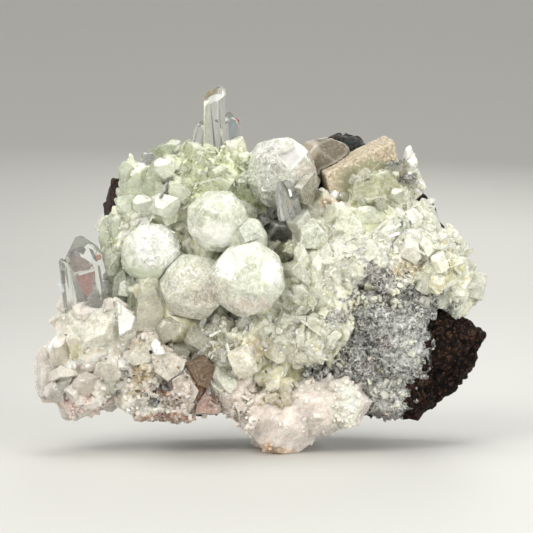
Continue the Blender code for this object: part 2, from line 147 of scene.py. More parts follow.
def treeOf(names):
    bm = bmesh.new()
    for name in names:
        bm.from_mesh(nodes[name].data)
    tree = BVHTree.FromBMesh(bm)
    bm.free()
    return tree


allSolids = treeOf(nodes)


def lineThrough(u, v):
    side = across * ((u - middle) * pixelSize)
    rise = upward * ((middle - v) * pixelSize)
    return (ahead * view["distance"] + side + rise).normalized()


def spotAt(u, v, tree=allSolids):
    place, normal, _, _ = tree.ray_cast(eye, lineThrough(u, v))
    return place, normal


def nearSpot(u, v):
    # the surface seen at a picture point, or beside it where the point just misses
    place = spotAt(u, v)[0]
    if place is None:
        line = lineThrough(u, v)
        beside = allSolids.find_nearest(eye + line * view["distance"])[0]
        place = eye + line * (beside - eye).dot(line)
    return place


def tone(red, green, blue):
    linear = []
    for value in (red, green, blue):
        share = value / 255
        linear.append(share / 12.92 if share < 0.04 else ((share + 0.055) / 1.055) ** 2.4)
    return np.array(linear)


def cloudsAt(points, size, seed=0):
    shift = Vector((seed * 7.31, seed * 3.17, seed * 5.71))
    scale = 1 / (size * mm)
    return np.array([noise.noise(Vector(p) * scale + shift) for p in points])


def cellsAt(points, size, seed=0, metric="CHEBYCHEV", turn=0.0):
    shift = Vector((seed * 7.31, seed * 3.17, seed * 5.71))
    turned = Matrix.Rotation(turn, 3, Vector((1, 2, 3)).normalized()) * (1 / (size * mm))
    near = [noise.voronoi(turned @ Vector(p) + shift, distance_metric=metric)[0] for p in points]
    return np.array([pair[0] for pair in near]), np.array([pair[1] for pair in near])


def shareOf(patch, u, v, wobble):
    x, y = patch["at"]
    w, h = patch["half"]
    ragged = patch.get("ragged", 3)
    reach = np.hypot((u + wobble[0] * ragged - x) / w, (v + wobble[1] * ragged - y) / h)
    return np.clip((1.2 - reach) / 0.4, 0, 1) * patch.get("amount", 1)


# Making and finishing a piece

def skinOf(name, voxel):
    # an even, merged copy of a solid, ready for relief
    bm = bmesh.new()
    bm.from_mesh(nodes[name].data)
    bmesh.ops.remove_doubles(bm, verts=bm.verts, dist=1e-6)
    mesh = bpy.data.meshes.new(name + "Rough")
    bm.to_mesh(mesh)
    bm.free()
    rough = bpy.data.objects.new(name + "Rough", mesh)
    bpy.context.scene.collection.objects.link(rough)
    remesh = rough.modifiers.new("even", "REMESH")
    remesh.mode = "VOXEL"
    remesh.voxel_size = voxel * mm
    depsgraph = bpy.context.evaluated_depsgraph_get()
    even = bpy.data.meshes.new_from_object(rough.evaluated_get(depsgraph))
    bpy.data.objects.remove(rough)
    return even


def arraysOf(mesh):
    points = np.empty(len(mesh.vertices) * 3)
    mesh.vertices.foreach_get("co", points)
    normals = np.empty(len(mesh.vertices) * 3)
    mesh.vertices.foreach_get("normal", normals)
    return points.reshape(-1, 3), normals.reshape(-1, 3)


def ridgesOf(mesh, points, rounds=1):
    # above 0 on edges that stand out, below 0 in creases
    mesh.vertices.foreach_set("co", points.ravel())
    mesh.update()
    _, normals = arraysOf(mesh)
    pairs = np.empty(len(mesh.edges) * 2, dtype=int)
    mesh.edges.foreach_get("vertices", pairs)
    first, second = pairs.reshape(-1, 2).T
    step = points[second] - points[first]
    length = np.linalg.norm(step, axis=1) + 1e-9
    links = np.bincount(first, minlength=len(points)) + np.bincount(second, minlength=len(points))
    bend = np.zeros(len(points))
    np.add.at(bend, first, -(step * normals[first]).sum(axis=1) / length)
    np.add.at(bend, second, (step * normals[second]).sum(axis=1) / length)
    bend /= np.maximum(links, 1)
    for _ in range(rounds):
        spread = np.zeros(len(points))
        np.add.at(spread, first, bend[second])
        np.add.at(spread, second, bend[first])
        bend = 0.5 * bend + 0.5 * spread / np.maximum(links, 1)
    return bend


def setTint(mesh, colours, roughness, plain):
    # colour and roughness travel in one attribute, freedom from grain in another
    mesh.attributes.new("plain", "FLOAT", "POINT").data.foreach_set("value", plain)
    values = np.empty((len(mesh.vertices), 4), dtype=np.float32)
    values[:, :3] = np.clip(colours, 0, 1)
    values[:, 3] = np.clip(roughness, 0.02, 1)
    attribute = mesh.color_attributes.new("tint", "FLOAT_COLOR", "POINT")
    attribute.data.foreach_set("color", values.ravel())


def addPiece(name, mesh, material, replaced=(), smooth=True):
    mesh.materials.clear()
    mesh.materials.append(material)
    mesh.polygons.foreach_set("use_smooth", [smooth] * len(mesh.polygons))
    mesh.polygons.foreach_set("material_index", [0] * len(mesh.polygons))
    mesh.update()
    mesh.name = name
    piece = bpy.data.objects.new(name, mesh)
    bpy.context.scene.collection.objects.link(piece)
    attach(piece, "root")
    if replaced:
        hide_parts(*replaced)
    print(name, "has", sum(len(face.vertices) - 2 for face in mesh.polygons), "triangles")
    return piece


# Shared effects

def newGroup(name, inputs, outputs):
    group = bpy.data.node_groups.new(name, "ShaderNodeTree")
    for label, value in inputs.items():
        kind = "NodeSocketVector" if isinstance(value, tuple) else "NodeSocketFloat"
        socket = group.interface.new_socket(label, in_out="INPUT", socket_type=kind)
        socket.default_value = value
    for label in outputs:
        group.interface.new_socket(label, in_out="OUTPUT", socket_type="NodeSocketFloat")
    return group, group.nodes.new("NodeGroupInput"), group.nodes.new("NodeGroupOutput")


def feed(tree, made, values):
    for socket, value in zip(made.inputs, values):
        if isinstance(value, bpy.types.NodeSocket):
            tree.links.new(value, socket)
        elif value is not None:
            socket.default_value = value


def mathNode(tree, operation, first, second=None, third=None):
    made = tree.nodes.new("ShaderNodeMath")
    made.operation = operation
    feed(tree, made, (first, second, third))
    return made.outputs[0]


def vectorNode(tree, operation, first, second=None, third=None, scale=None):
    made = tree.nodes.new("ShaderNodeVectorMath")
    made.operation = operation
    feed(tree, made, (first, second, third, scale))
    return made.outputs["Value" if operation == "DOT_PRODUCT" else "Vector"]


def mixedColour(tree, share, under, over):
    made = tree.nodes.new("ShaderNodeMix")
    made.data_type = "RGBA"
    if isinstance(share, bpy.types.NodeSocket):
        tree.links.new(share, made.inputs["Factor"])
    else:
        made.inputs["Factor"].default_value = share
    tree.links.new(under, made.inputs["A"])
    made.inputs["B"].default_value = (*over, 1)
    return made.outputs["Result"]


def scaledPlace(group, given):
    place = group.nodes.new("ShaderNodeTexCoord")
    scale = mathNode(group, "DIVIDE", 1000.0, given.outputs["Size"])
    scaled = vectorNode(group, "SCALE", place.outputs["Object"], scale=scale)
    return vectorNode(group, "MULTIPLY", scaled, given.outputs["Stretch"])


def makeWisps():
    # thin pale streaks and soft veils, as in clouded crystal. Size is in millimetres
    group, given, result = newGroup(
        "paleWisps", {"Size": 2.0, "Thin": 0.04, "Stretch": (1.0, 1.0, 1.0)}, ("Streak", "Veil"))
    cloud = group.nodes.new("ShaderNodeTexNoise")
    cloud.inputs["Scale"].default_value = 1
    cloud.inputs["Detail"].default_value = 5
    cloud.inputs["Roughness"].default_value = 0.62
    cloud.inputs["Distortion"].default_value = 0.9
    group.links.new(scaledPlace(group, given), cloud.inputs["Vector"])
    away = mathNode(group, "ABSOLUTE", mathNode(group, "SUBTRACT", cloud.outputs["Fac"], 0.5))
    near = mathNode(group, "SUBTRACT", 1.0, mathNode(group, "DIVIDE", away, given.outputs["Thin"]))
    group.links.new(mathNode(group, "MAXIMUM", near, 0.0), result.inputs["Streak"])
    channels = group.nodes.new("ShaderNodeSeparateColor")
    group.links.new(cloud.outputs["Color"], channels.inputs["Color"])
    veil = mathNode(group, "MULTIPLY_ADD", channels.outputs["Green"], 4.0, -1.5)
    veil = mathNode(group, "MINIMUM", mathNode(group, "MAXIMUM", veil, 0.0), 1.0)
    group.links.new(veil, result.inputs["Veil"])
    return group


def makeFacets():
    # parts a surface into small tilted grains. Size is in millimetres
    group, given, result = newGroup(
        "crystalFacets", {"Size": 1.0, "Ragged": 0.3, "Line": 0.05, "Stretch": (1.0, 1.0, 1.0)},
        ("Random", "Second", "Edge", "Height"))
    links = group.links
    scaled = scaledPlace(group, given)
    cloud = group.nodes.new("ShaderNodeTexNoise")
    cloud.inputs["Scale"].default_value = 1.3
    cloud.inputs["Detail"].default_value = 3
    links.new(scaled, cloud.inputs["Vector"])
    swing = vectorNode(group, "SUBTRACT", cloud.outputs["Color"], (0.5, 0.5, 0.5))
    swing = vectorNode(group, "SCALE", swing, scale=given.outputs["Ragged"])
    spot = vectorNode(group, "ADD", scaled, swing)
    cells = group.nodes.new("ShaderNodeTexVoronoi")
    borders = group.nodes.new("ShaderNodeTexVoronoi")
    borders.feature = "DISTANCE_TO_EDGE"
    for made in (cells, borders):
        links.new(spot, made.inputs["Vector"])
        made.inputs["Scale"].default_value = 1
    inside = vectorNode(group, "SUBTRACT", spot, cells.outputs["Position"])
    turn = vectorNode(group, "MULTIPLY_ADD", cells.outputs["Color"], (2, 2, 2), (-1, -1, -1))
    slope = vectorNode(group, "DOT_PRODUCT", inside, turn)
    links.new(mathNode(group, "MULTIPLY_ADD", cloud.outputs["Fac"], 0.3, slope),
              result.inputs["Height"])
    channels = group.nodes.new("ShaderNodeSeparateColor")
    links.new(cells.outputs["Color"], channels.inputs["Color"])
    links.new(channels.outputs["Red"], result.inputs["Random"])
    links.new(channels.outputs["Green"], result.inputs["Second"])
    near = mathNode(group, "DIVIDE", borders.outputs["Distance"], given.outputs["Line"])
    edge = mathNode(group, "SUBTRACT", 1.0, near)
    links.new(mathNode(group, "MAXIMUM", edge, 0.0), result.inputs["Edge"])
    return group


facetGroup = makeFacets()
wispGroup = makeWisps()


def mineral(name, finish):
    # tint attribute, sizes of grain with pale edges and flecks, and a little depth
    material = bpy.data.materials.new(name)
    material.use_nodes = True
    tree = material.node_tree
    links = tree.links
    shader = tree.nodes["Principled BSDF"]
    tint = tree.nodes.new("ShaderNodeAttribute")
    tint.attribute_name = "tint"
    colour = tint.outputs["Color"]
    rough = tint.outputs["Alpha"]
    plain = tree.nodes.new("ShaderNodeAttribute")
    plain.attribute_name = "plain"
    busy = mathNode(tree, "SUBTRACT", 1.0, plain.outputs["Fac"])
    paleTone = tone(*finish.get("edgeTone", (252, 252, 246)))
    for wisp in finish.get("wisps", ()):
        veils = tree.nodes.new("ShaderNodeGroup")
        veils.node_tree = wispGroup
        veils.inputs["Size"].default_value = wisp["size"]
        veils.inputs["Thin"].default_value = wisp["thin"]
        veils.inputs["Stretch"].default_value = wisp.get("stretch", (1, 1, 1))
        shade = mathNode(tree, "MULTIPLY_ADD", veils.outputs["Veil"], wisp["veil"],
                         -wisp["veil"] / 2)
        shade = mathNode(tree, "MULTIPLY_ADD", shade, busy, 1.0)
        colour = vectorNode(tree, "SCALE", colour, scale=shade)
        share = mathNode(tree, "MULTIPLY", veils.outputs["Streak"], wisp["amount"])
        share = mathNode(tree, "MULTIPLY", share, busy)
        streakTone = tone(*wisp["tone"]) if "tone" in wisp else paleTone
        colour = mixedColour(tree, share, colour, streakTone)
    normal = None
    for grain in finish["grains"]:
        facets = tree.nodes.new("ShaderNodeGroup")
        facets.node_tree = facetGroup
        facets.inputs["Size"].default_value = grain["size"]
        facets.inputs["Ragged"].default_value = grain.get("ragged", 0.6)
        facets.inputs["Line"].default_value = grain.get("line", 0.08)
        facets.inputs["Stretch"].default_value = grain.get("stretch", (1, 1, 1))
        contrast = grain["contrast"]
        shade = mathNode(tree, "MULTIPLY_ADD", facets.outputs["Random"], contrast, -contrast / 2)
        shade = mathNode(tree, "MULTIPLY_ADD", shade, busy, 1.0)
        colour = vectorNode(tree, "SCALE", colour, scale=shade)
        for low, high, fleckTone in grain.get("flecks", ()):
            above = mathNode(tree, "GREATER_THAN", facets.outputs["Second"], low)
            below = mathNode(tree, "LESS_THAN", facets.outputs["Second"], high)
            share = mathNode(tree, "MULTIPLY", mathNode(tree, "MULTIPLY", above, below), busy)
            colour = mixedColour(tree, share, colour, tone(*fleckTone))
        share = mathNode(tree, "MULTIPLY", facets.outputs["Edge"], grain["edge"])
        share = mathNode(tree, "MULTIPLY", share, busy)
        colour = mixedColour(tree, share, colour, paleTone)
        gloss = mathNode(tree, "MULTIPLY_ADD", facets.outputs["Second"], grain.get("glitter", 0.8),
                         1 - grain.get("glitter", 0.8) / 2)
        rough = mathNode(tree, "MULTIPLY", rough, gloss)
        bump = tree.nodes.new("ShaderNodeBump")
        bump.inputs["Strength"].default_value = 1
        bump.inputs["Distance"].default_value = grain["size"] * grain["tilt"] * mm
        links.new(mathNode(tree, "MULTIPLY", facets.outputs["Height"], busy), bump.inputs["Height"])
        if normal:
            links.new(normal, bump.inputs["Normal"])
        normal = bump.outputs["Normal"]
    links.new(colour, shader.inputs["Base Color"])
    links.new(rough, shader.inputs["Roughness"])
    links.new(normal, shader.inputs["Normal"])
    shader.inputs["IOR"].default_value = 1.5
    shader.inputs["Specular IOR Level"].default_value = finish.get("shine", 0.5)
    shader.inputs["Subsurface Weight"].default_value = finish.get("depth", 0)
    shader.inputs["Subsurface Radius"].default_value = finish.get("spread", (1, 0.9, 0.7))
    shader.inputs["Subsurface Scale"].default_value = finish.get("reach", 1.0) * mm
    shader.inputs["Coat Weight"].default_value = finish.get("coat", 0)
    shader.inputs["Coat Roughness"].default_value = 0.08
    shader.inputs["Sheen Weight"].default_value = finish.get("sheen", 0)
    shader.inputs["Sheen Roughness"].default_value = 0.35
    return material


def clearCrystal(name, finish):
    material = bpy.data.materials.new(name)
    material.use_nodes = True
    tree = material.node_tree
    shader = tree.nodes["Principled BSDF"]
    shader.inputs["Base Color"].default_value = (*finish["tone"], 1)
    shader.inputs["Roughness"].default_value = finish["rough"]
    shader.inputs["IOR"].default_value = 1.544
    shader.inputs["Transmission Weight"].default_value = finish["clear"]
    absorb = tree.nodes.new("ShaderNodeVolumeAbsorption")
    absorb.inputs["Color"].default_value = (*finish["absorb"], 1)
    absorb.inputs["Density"].default_value = finish["density"]
    tree.links.new(absorb.outputs["Volume"], tree.nodes["Material Output"].inputs["Volume"])
    return material


materials = {
    "analcime": mineral("analcime", {
        "depth": 1.0, "spread": (1.0, 0.98, 0.88), "reach": 1.6, "coat": 0.35, "sheen": 0.25,
        "wisps": [{"size": 6.0, "thin": 0.03, "amount": 0.5, "veil": 0.24},
                  {"size": 2.0, "thin": 0.04, "amount": 0.55, "veil": 0.14},
                  {"size": 0.7, "thin": 0.04, "amount": 0.2, "veil": 0.06}],
        "grains": [
            {"size": 3.4, "contrast": 0.08, "edge": 0.15, "line": 0.025, "tilt": 0.05,
             "ragged": 1.6},
            {"size": 0.8, "contrast": 0.08, "edge": 0.0, "tilt": 0.14, "ragged": 1.2},
        ]}),
    "prehnite": mineral("prehnite", {
        "depth": 1.0, "spread": (0.95, 1.0, 0.75), "reach": 1.3, "coat": 0.4, "sheen": 0.2,
        "wisps": [{"size": 5.0, "thin": 0.03, "amount": 0.5, "veil": 0.25},
                  {"size": 1.6, "thin": 0.05, "amount": 0.55, "veil": 0.25},
                  {"size": 0.6, "thin": 0.06, "amount": 0.3, "veil": 0.2}],
        "grains": [
            {"size": 2.6, "contrast": 0.12, "edge": 0.2, "line": 0.03, "tilt": 0.14,
             "ragged": 1.0},
            {"size": 0.7, "contrast": 0.10, "edge": 0.0, "tilt": 0.24, "ragged": 1.0},
        ]}),
    "clearBlock": mineral("clearBlock", {
        "coat": 1.0, "sheen": 0.2,
        "wisps": [{"size": 5.0, "thin": 0.02, "amount": 0.6, "veil": 0.3},
                  {"size": 1.2, "thin": 0.04, "amount": 0.5, "veil": 0.2}],
        "grains": [
            {"size": 2.4, "contrast": 0.08, "edge": 0.1, "line": 0.02, "tilt": 0.04,
             "ragged": 1.0},
            {"size": 0.7, "contrast": 0.06, "edge": 0.0, "tilt": 0.06, "ragged": 1.0},
        ]}),
    "pinkCrystal": mineral("pinkCrystal", {
        "depth": 1.0, "spread": (1.0, 0.85, 0.75), "reach": 1.5, "coat": 0.4, "sheen": 0.2,
        "wisps": [{"size": 5.0, "thin": 0.03, "amount": 0.5, "veil": 0.25},
                  {"size": 1.6, "thin": 0.05, "amount": 0.5, "veil": 0.2},
                  {"size": 0.6, "thin": 0.06, "amount": 0.25, "veil": 0.15}],
        "grains": [
            {"size": 3.4, "contrast": 0.10, "edge": 0.15, "line": 0.03, "tilt": 0.12,
             "ragged": 0.8},
            {"size": 0.8, "contrast": 0.10, "edge": 0.0, "tilt": 0.18, "ragged": 1.0},
        ]}),
    "speckled": mineral("speckled", {
        "depth": 0.7, "reach": 1.0, "coat": 0.2,
        "wisps": [{"size": 2.0, "thin": 0.05, "amount": 0.4, "veil": 0.3}],
        "grains": [
            {"size": 2.0, "contrast": 0.14, "edge": 0.15, "line": 0.04, "tilt": 0.2},
            {"size": 0.6, "contrast": 0.22, "edge": 0.1, "line": 0.10, "tilt": 0.35,
             "flecks": [(0, 0.008, (130, 94, 56)), (0.008, 0.014, (52, 40, 30))]},
        ]}),
    "silky": mineral("silky", {
        "depth": 1.0, "spread": (1.0, 0.88, 0.8), "reach": 1.4, "edgeTone": (252, 246, 240),
        "coat": 0.3, "sheen": 0.25,
        "wisps": [{"size": 4.0, "thin": 0.03, "amount": 0.5, "veil": 0.15},
                  {"size": 1.2, "thin": 0.05, "amount": 0.5, "veil": 0.12}],
        "grains": [
            {"size": 3.0, "contrast": 0.08, "edge": 0.15, "line": 0.03, "tilt": 0.05,
             "ragged": 1.6},
            {"size": 0.7, "contrast": 0.10, "edge": 0.0, "tilt": 0.14, "ragged": 1.4,
             "stretch": (0.6, 1.4, 1.4)},
        ]}),
    "druse": mineral("druse", {
        "depth": 0.1,
        "wisps": [{"size": 4.0, "thin": 0.06, "amount": 0.85, "veil": 0.8, "tone": (34, 31, 29)},
                  {"size": 1.6, "thin": 0.06, "amount": 0.75, "veil": 0.6, "tone": (38, 35, 33)},
                  {"size": 1.1, "thin": 0.07, "amount": 0.85, "veil": 0.5}],
        "grains": [
            {"size": 1.6, "contrast": 0.4, "edge": 0.0, "tilt": 0.5, "ragged": 1.6},
            {"size": 0.45, "contrast": 0.7, "edge": 0.35, "line": 0.10, "tilt": 0.9,
             "ragged": 1.6, "flecks": [(0.86, 1, (246, 246, 240))]},
        ]}),
    "basalt": mineral("basalt", {
        "edgeTone": (84, 62, 50), "shine": 0.2, "grains": [
            {"size": 2.2, "contrast": 0.6, "edge": 0.0, "tilt": 0.4, "ragged": 1.6},
            {"size": 0.9, "contrast": 0.6, "edge": 0.0, "tilt": 0.8, "ragged": 2.0,
             "glitter": 0.4, "flecks": [(0, 0.22, (14, 10, 8))]},
            {"size": 0.4, "contrast": 0.8, "edge": 0.0, "tilt": 0.9, "ragged": 2.0,
             "glitter": 0.6, "flecks": [(0, 0.3, (13, 9, 7)), (0.86, 1, (98, 72, 58))]},
        ]}),
    "calcite": mineral("calcite", {
        "depth": 0.3, "reach": 0.8, "grains": [
            {"size": 1.4, "contrast": 0.16, "edge": 0.1, "tilt": 0.2, "ragged": 1.2},
            {"size": 0.42, "contrast": 0.3, "edge": 0.0, "tilt": 0.4, "ragged": 1.6,
             "flecks": [(0, 0.2, (220, 208, 186)), (0.2, 0.3, (172, 148, 120))]},
        ]}),
    # real brown plates, and painted reflections and highlights inside the quartz
    "inclusionAndReflection": mineral("inclusionAndReflection", {
        "coat": 0.3, "wisps": [{"size": 1.0, "thin": 0.04, "amount": 0.15, "veil": 0.3}],
        "grains": [{"size": 0.5, "contrast": 0.2, "edge": 0.0, "tilt": 0.1}]}),
    "quartz": clearCrystal("quartz", {"tone": (0.97, 0.98, 0.95), "rough": 0.04, "clear": 0.86,
                                      "absorb": (0.74, 0.76, 0.68), "density": 25}),
}
looseClear = {"analcime": 0.3, "prehnite": 0.32, "pinkCrystal": 0.3, "speckled": 0.1,
              "silky": 0.15, "druse": 0.15, "clearBlock": 0.5}
for name, clear in looseClear.items():
    # loose crystals lie half inside one another: light passes through them, not under the skin
    for ending, share in (("Loose", clear), ("Fine", 0)):
        loose = materials[name].copy()
        loose.name = name + ending
        shader = loose.node_tree.nodes["Principled BSDF"]
        shader.inputs["Subsurface Weight"].default_value = 0
        shader.inputs["Transmission Weight"].default_value = share
        materials[name + ending] = loose
print("materials ready")


# Skins: each solid again, with its small relief and its colours

def facingOf(normals):
    return np.clip((normals @ -np.array(ahead) + 0.15) / 0.4, 0, 1)


def insideOf(outline, u, v):
    # how far inside a convex outline each place lies, in picture points
    depth = np.full(np.shape(u), 1e9)
    centreU, centreV = np.mean(outline, axis=0)
    for (x1, y1), (x2, y2) in zip(outline, outline[1:] + outline[:1]):
        length = math.hypot(x2 - x1, y2 - y1)
        side = ((x2 - x1) * (v - y1) - (y2 - y1) * (u - x1)) / length
        inner = (x2 - x1) * (centreV - y1) - (y2 - y1) * (centreU - x1)
        depth = np.minimum(depth, side * math.copysign(1, inner))
    return depth


def planeThrough(corners):
    # the middle of some places and the line square to them, toward the camera
    centre = sum(corners, Vector()) / len(corners)
    normal = Vector()
    for first, second in zip(corners, corners[1:] + corners[:1]):
        normal += (first - centre).cross(second - centre)
    normal.normalize()
    return centre, normal if normal.dot(ahead) < 0 else -normal


def paintOf(look, points, normals):
    # colour, roughness and calmness of a piece at the given places
    u, v = toPixels(points)
    facing = facingOf(normals)
    wobble = (cloudsAt(points, 2.0, 1) * 2, cloudsAt(points, 2.0, 2) * 2)
    colours = np.tile(tone(*look["tone"]), (len(points), 1))
    roughness = np.full(len(points), look["rough"])
    calm = np.ones(len(points))
    for patch in look["patches"].values():
        share = shareOf(patch, u, v, wobble) * facing
        colours += (tone(*patch["tone"]) - colours) * share[:, None]
        if "rough" in patch:
            roughness += (patch["rough"] - roughness) * share
        calm *= 1 - share * patch.get("smooth", 0)
    mottle = 1 + cloudsAt(points, 3.0, 5) * look.get("mottle", 0.1)
    return colours * mottle[:, None] * look.get("cast", (1, 1, 1)), roughness, calm


def roundedOn(balls, points, share):
    # draws the flat faces of near-round crystals toward their spheres
    nearest = np.full(len(points), 1e9)
    moved = points.copy()
    for centre, radius in balls:
        away = points - np.array(centre) * mm
        length = np.linalg.norm(away, axis=1)
        reach = length / (radius * mm)
        goal = np.array(centre) * mm + away / length[:, None] * (radius * mm)
        part = share * np.clip((reach - 0.8) / 0.1, 0, 1) * np.clip((1.35 - reach) / 0.1, 0, 1)
        mine = np.abs(reach - 1) < nearest
        nearest[mine] = np.abs(reach - 1)[mine]
        moved[mine] = (points + (goal - points) * part[:, None])[mine]
    return moved


def finishSkin(name, look, material):
    mesh = skinOf(name, look["voxel"])
    points, normals = arraysOf(mesh)
    if "balls" in look:
        points = roundedOn(look["balls"], points, look["round"])
        mesh.vertices.foreach_set("co", points.ravel())
        mesh.update()
        points, normals = arraysOf(mesh)
    colours, roughness, calm = paintOf(look, points, normals)
    u, v = toPixels(points)
    facing = facingOf(normals)
    # painted highlight along the outlines of flat faces, set below
    outlineHighlight = np.zeros(len(points))
    if "flats" in look:
        bm = bmesh.new()
        bm.from_mesh(mesh)
        own = BVHTree.FromBMesh(bm)
        bm.free()
        for flat in look["flats"].values():
            hits = [spotAt(x, y, own)[0] for x, y in flat["outline"]]
            centre, normal = planeThrough([hit for hit in hits if hit])
            centre += normal * flat.get("raise", 0) * mm
            depth = insideOf(flat["outline"], u, v)
            share = np.clip(depth + 0.5, 0, 1) * (facing > 0.3)
            above = (points - np.array(centre)) @ np.array(normal)
            points = points - np.array(normal) * (np.clip(above, 0, None) * share)[:, None]
            colours += (tone(*flat["tone"]) - colours) * (share * 0.9)[:, None]
            roughness += (flat.get("rough", 0.15) - roughness) * share
            calm *= 1 - share
            outlineHighlight = np.maximum(outlineHighlight, np.clip(1.3 - np.abs(depth - 0.5), 0, 1) * (facing > 0.3))
    height = np.zeros(len(points))
    for layer in look["relief"]:
        if layer["kind"] == "cells":
            near, _ = cellsAt(points, layer["size"], layer["seed"], turn=layer.get("turn", 0.7))
            raised = 0.45 - near
        elif layer["kind"] == "cracks":
            near, second = cellsAt(points, layer["size"], layer["seed"], "DISTANCE")
            raised = -np.clip(1 - (second - near) / 0.12, 0, 1)
        else:
            raised = cloudsAt(points, layer["size"], layer["seed"])
        height += raised * layer["depth"]
    height = height * calm + look.get("swell", 0)
    height[points[:, 2] < 0.4 * mm] = 0
    points = points + normals * (height * mm)[:, None]
    ridges = ridgesOf(mesh, points, look.get("soften", 1))
    # painted highlight: colours lightened toward the edge tone on raised edges and along the outlines
    # of flat faces
    lit = np.clip(ridges * look.get("edge", 3), 0, 1) * look.get("ridgeHighlightAmount", 0.6)
    lit = np.maximum(lit, outlineHighlight * 0.8)
    colours += (tone(*look.get("edgeTone", (250, 250, 244))) - colours) * lit[:, None]
    # painted shade: colours darkened in creases, where shade falls
    creaseShade = np.clip(-ridges * look.get("creaseShadeGain", 2), 0, 1) * look.get("creaseShadeAmount", 0.4)
    colours *= (1 - creaseShade)[:, None]
    setTint(mesh, colours, roughness, (1 - calm) * look.get("plain", 0.85))
    return addPiece(look["piece"], mesh, material, (name,))


crustLook = {
    "piece": "prehniteCrust", "voxel": 0.37, "tone": (234, 235, 206), "rough": 0.34, "swell": 0.16,
    "cast": (1, 0.99, 0.88),
    "edge": 3.0, "ridgeHighlightAmount": 0.6, "creaseShadeGain": 2.0, "creaseShadeAmount": 0.25, "mottle": 0.12,
    "relief": [
        {"kind": "cells", "size": 3.0, "seed": 1, "depth": 0.7, "turn": 0.7},
        {"kind": "cells", "size": 1.4, "seed": 2, "depth": 0.45, "turn": 1.9},
        {"kind": "clouds", "size": 0.8, "seed": 3, "depth": 0.2},
    ],
    "patches": {
        "rightSlope": {"at": (385, 235), "half": (75, 60), "tone": (255, 255, 238)},
        "topGreen": {"at": (205, 172), "half": (50, 36), "tone": (210, 220, 168)},
        "oliveSmooth": {"at": (240, 203), "half": (30, 16), "tone": (122, 132, 84), "smooth": 0.7},
        "leftMound": {"at": (143, 205), "half": (42, 60), "tone": (246, 251, 224)},
        "leftFlank": {"at": (116, 290), "half": (20, 45), "tone": (150, 160, 120)},
        "paleBlock": {"at": (160, 312), "half": (36, 38), "tone": (222, 218, 194), "smooth": 0.9,
                      "rough": 0.25},
        "underTrio": {"at": (228, 320), "half": (34, 10), "tone": (118, 112, 74)},
        "besideTrio": {"at": (300, 290), "half": (20, 46), "tone": (194, 197, 158)},
        "creamRosette": {"at": (303, 342), "half": (36, 22), "tone": (255, 252, 226)},
        "rustyBlock": {"at": (252, 352), "half": (26, 14), "tone": (212, 196, 152)},
        "oliveHollow": {"at": (305, 374), "half": (26, 11), "tone": (136, 132, 92), "smooth": 0.8},
        "lowerGreen": {"at": (208, 358), "half": (30, 32), "tone": (134, 130, 90)},
        "lightBlock": {"at": (313, 232), "half": (16, 18), "tone": (166, 169, 140), "smooth": 0.6},
        "striated": {"at": (364, 218), "half": (34, 15), "tone": (222, 226, 194), "smooth": 0.7},
        "darkPocket": {"at": (277, 229), "half": (26, 14), "tone": (52, 54, 48), "smooth": 0.9,
                       "rough": 0.1, "ragged": 1.5},
        "greyKnob": {"at": (296, 217), "half": (7, 7), "tone": (120, 122, 116), "smooth": 0.9},
        "rhombCoat": {"at": (372, 184), "half": (36, 24), "tone": (146, 147, 114), "smooth": 0.75,
                      "rough": 0.15},
        "oliveFacet": {"at": (311, 190), "half": (11, 17), "tone": (158, 156, 128), "smooth": 0.9},
        "tanSpot": {"at": (328, 202), "half": (7, 6), "tone": (190, 160, 110)},
        "greenSpot": {"at": (403, 221), "half": (6, 7), "tone": (156, 168, 126)},
        "yellowStain": {"at": (408, 270), "half": (19, 8), "tone": (190, 172, 104)},
        "yellowDot": {"at": (354, 306), "half": (6, 6), "tone": (214, 196, 120)},
        "yellowRim": {"at": (450, 268), "half": (9, 7), "tone": (224, 216, 140)},
        "greyRight": {"at": (424, 292), "half": (14, 12), "tone": (186, 186, 172)},
        "whiteFlank": {"at": (446, 302), "half": (18, 22), "tone": (216, 220, 202)},
        "creamLow": {"at": (262, 388), "half": (34, 12), "tone": (236, 224, 194)},
        "druseRise": {"at": (377, 280), "half": (14, 17), "tone": (172, 162, 152), "ragged": 7},
        "druseSide": {"at": (336, 318), "half": (13, 10), "tone": (140, 136, 124), "ragged": 6},
        "druseFoot": {"at": (326, 372), "half": (24, 7), "tone": (104, 98, 90), "ragged": 5},
    },
}
pinkLook = {
    "piece": "pinkCluster", "voxel": 0.30, "tone": (255, 242, 228), "rough": 0.28,
    "edge": 3.0, "ridgeHighlightAmount": 0.5, "creaseShadeGain": 2.0, "creaseShadeAmount": 0.35,
    "relief": [
        {"kind": "cells", "size": 2.6, "seed": 11, "depth": 0.5, "turn": 0.4},
        {"kind": "cells", "size": 1.1, "seed": 12, "depth": 0.22, "turn": 2.1},
    ],
    "patches": {
        "greyTop": {"at": (98, 318), "half": (40, 34), "tone": (190, 187, 170), "smooth": 0.4,
                    "rough": 0.2},
        "yellowSide": {"at": (75, 352), "half": (12, 8), "tone": (212, 203, 162)},
        "leftRim": {"at": (42, 352), "half": (9, 34), "tone": (255, 230, 216)},
        "bottomRim": {"at": (88, 406), "half": (52, 10), "tone": (234, 196, 186)},
        "lowerGrey": {"at": (110, 380), "half": (22, 20), "tone": (240, 231, 208)},
    },
}
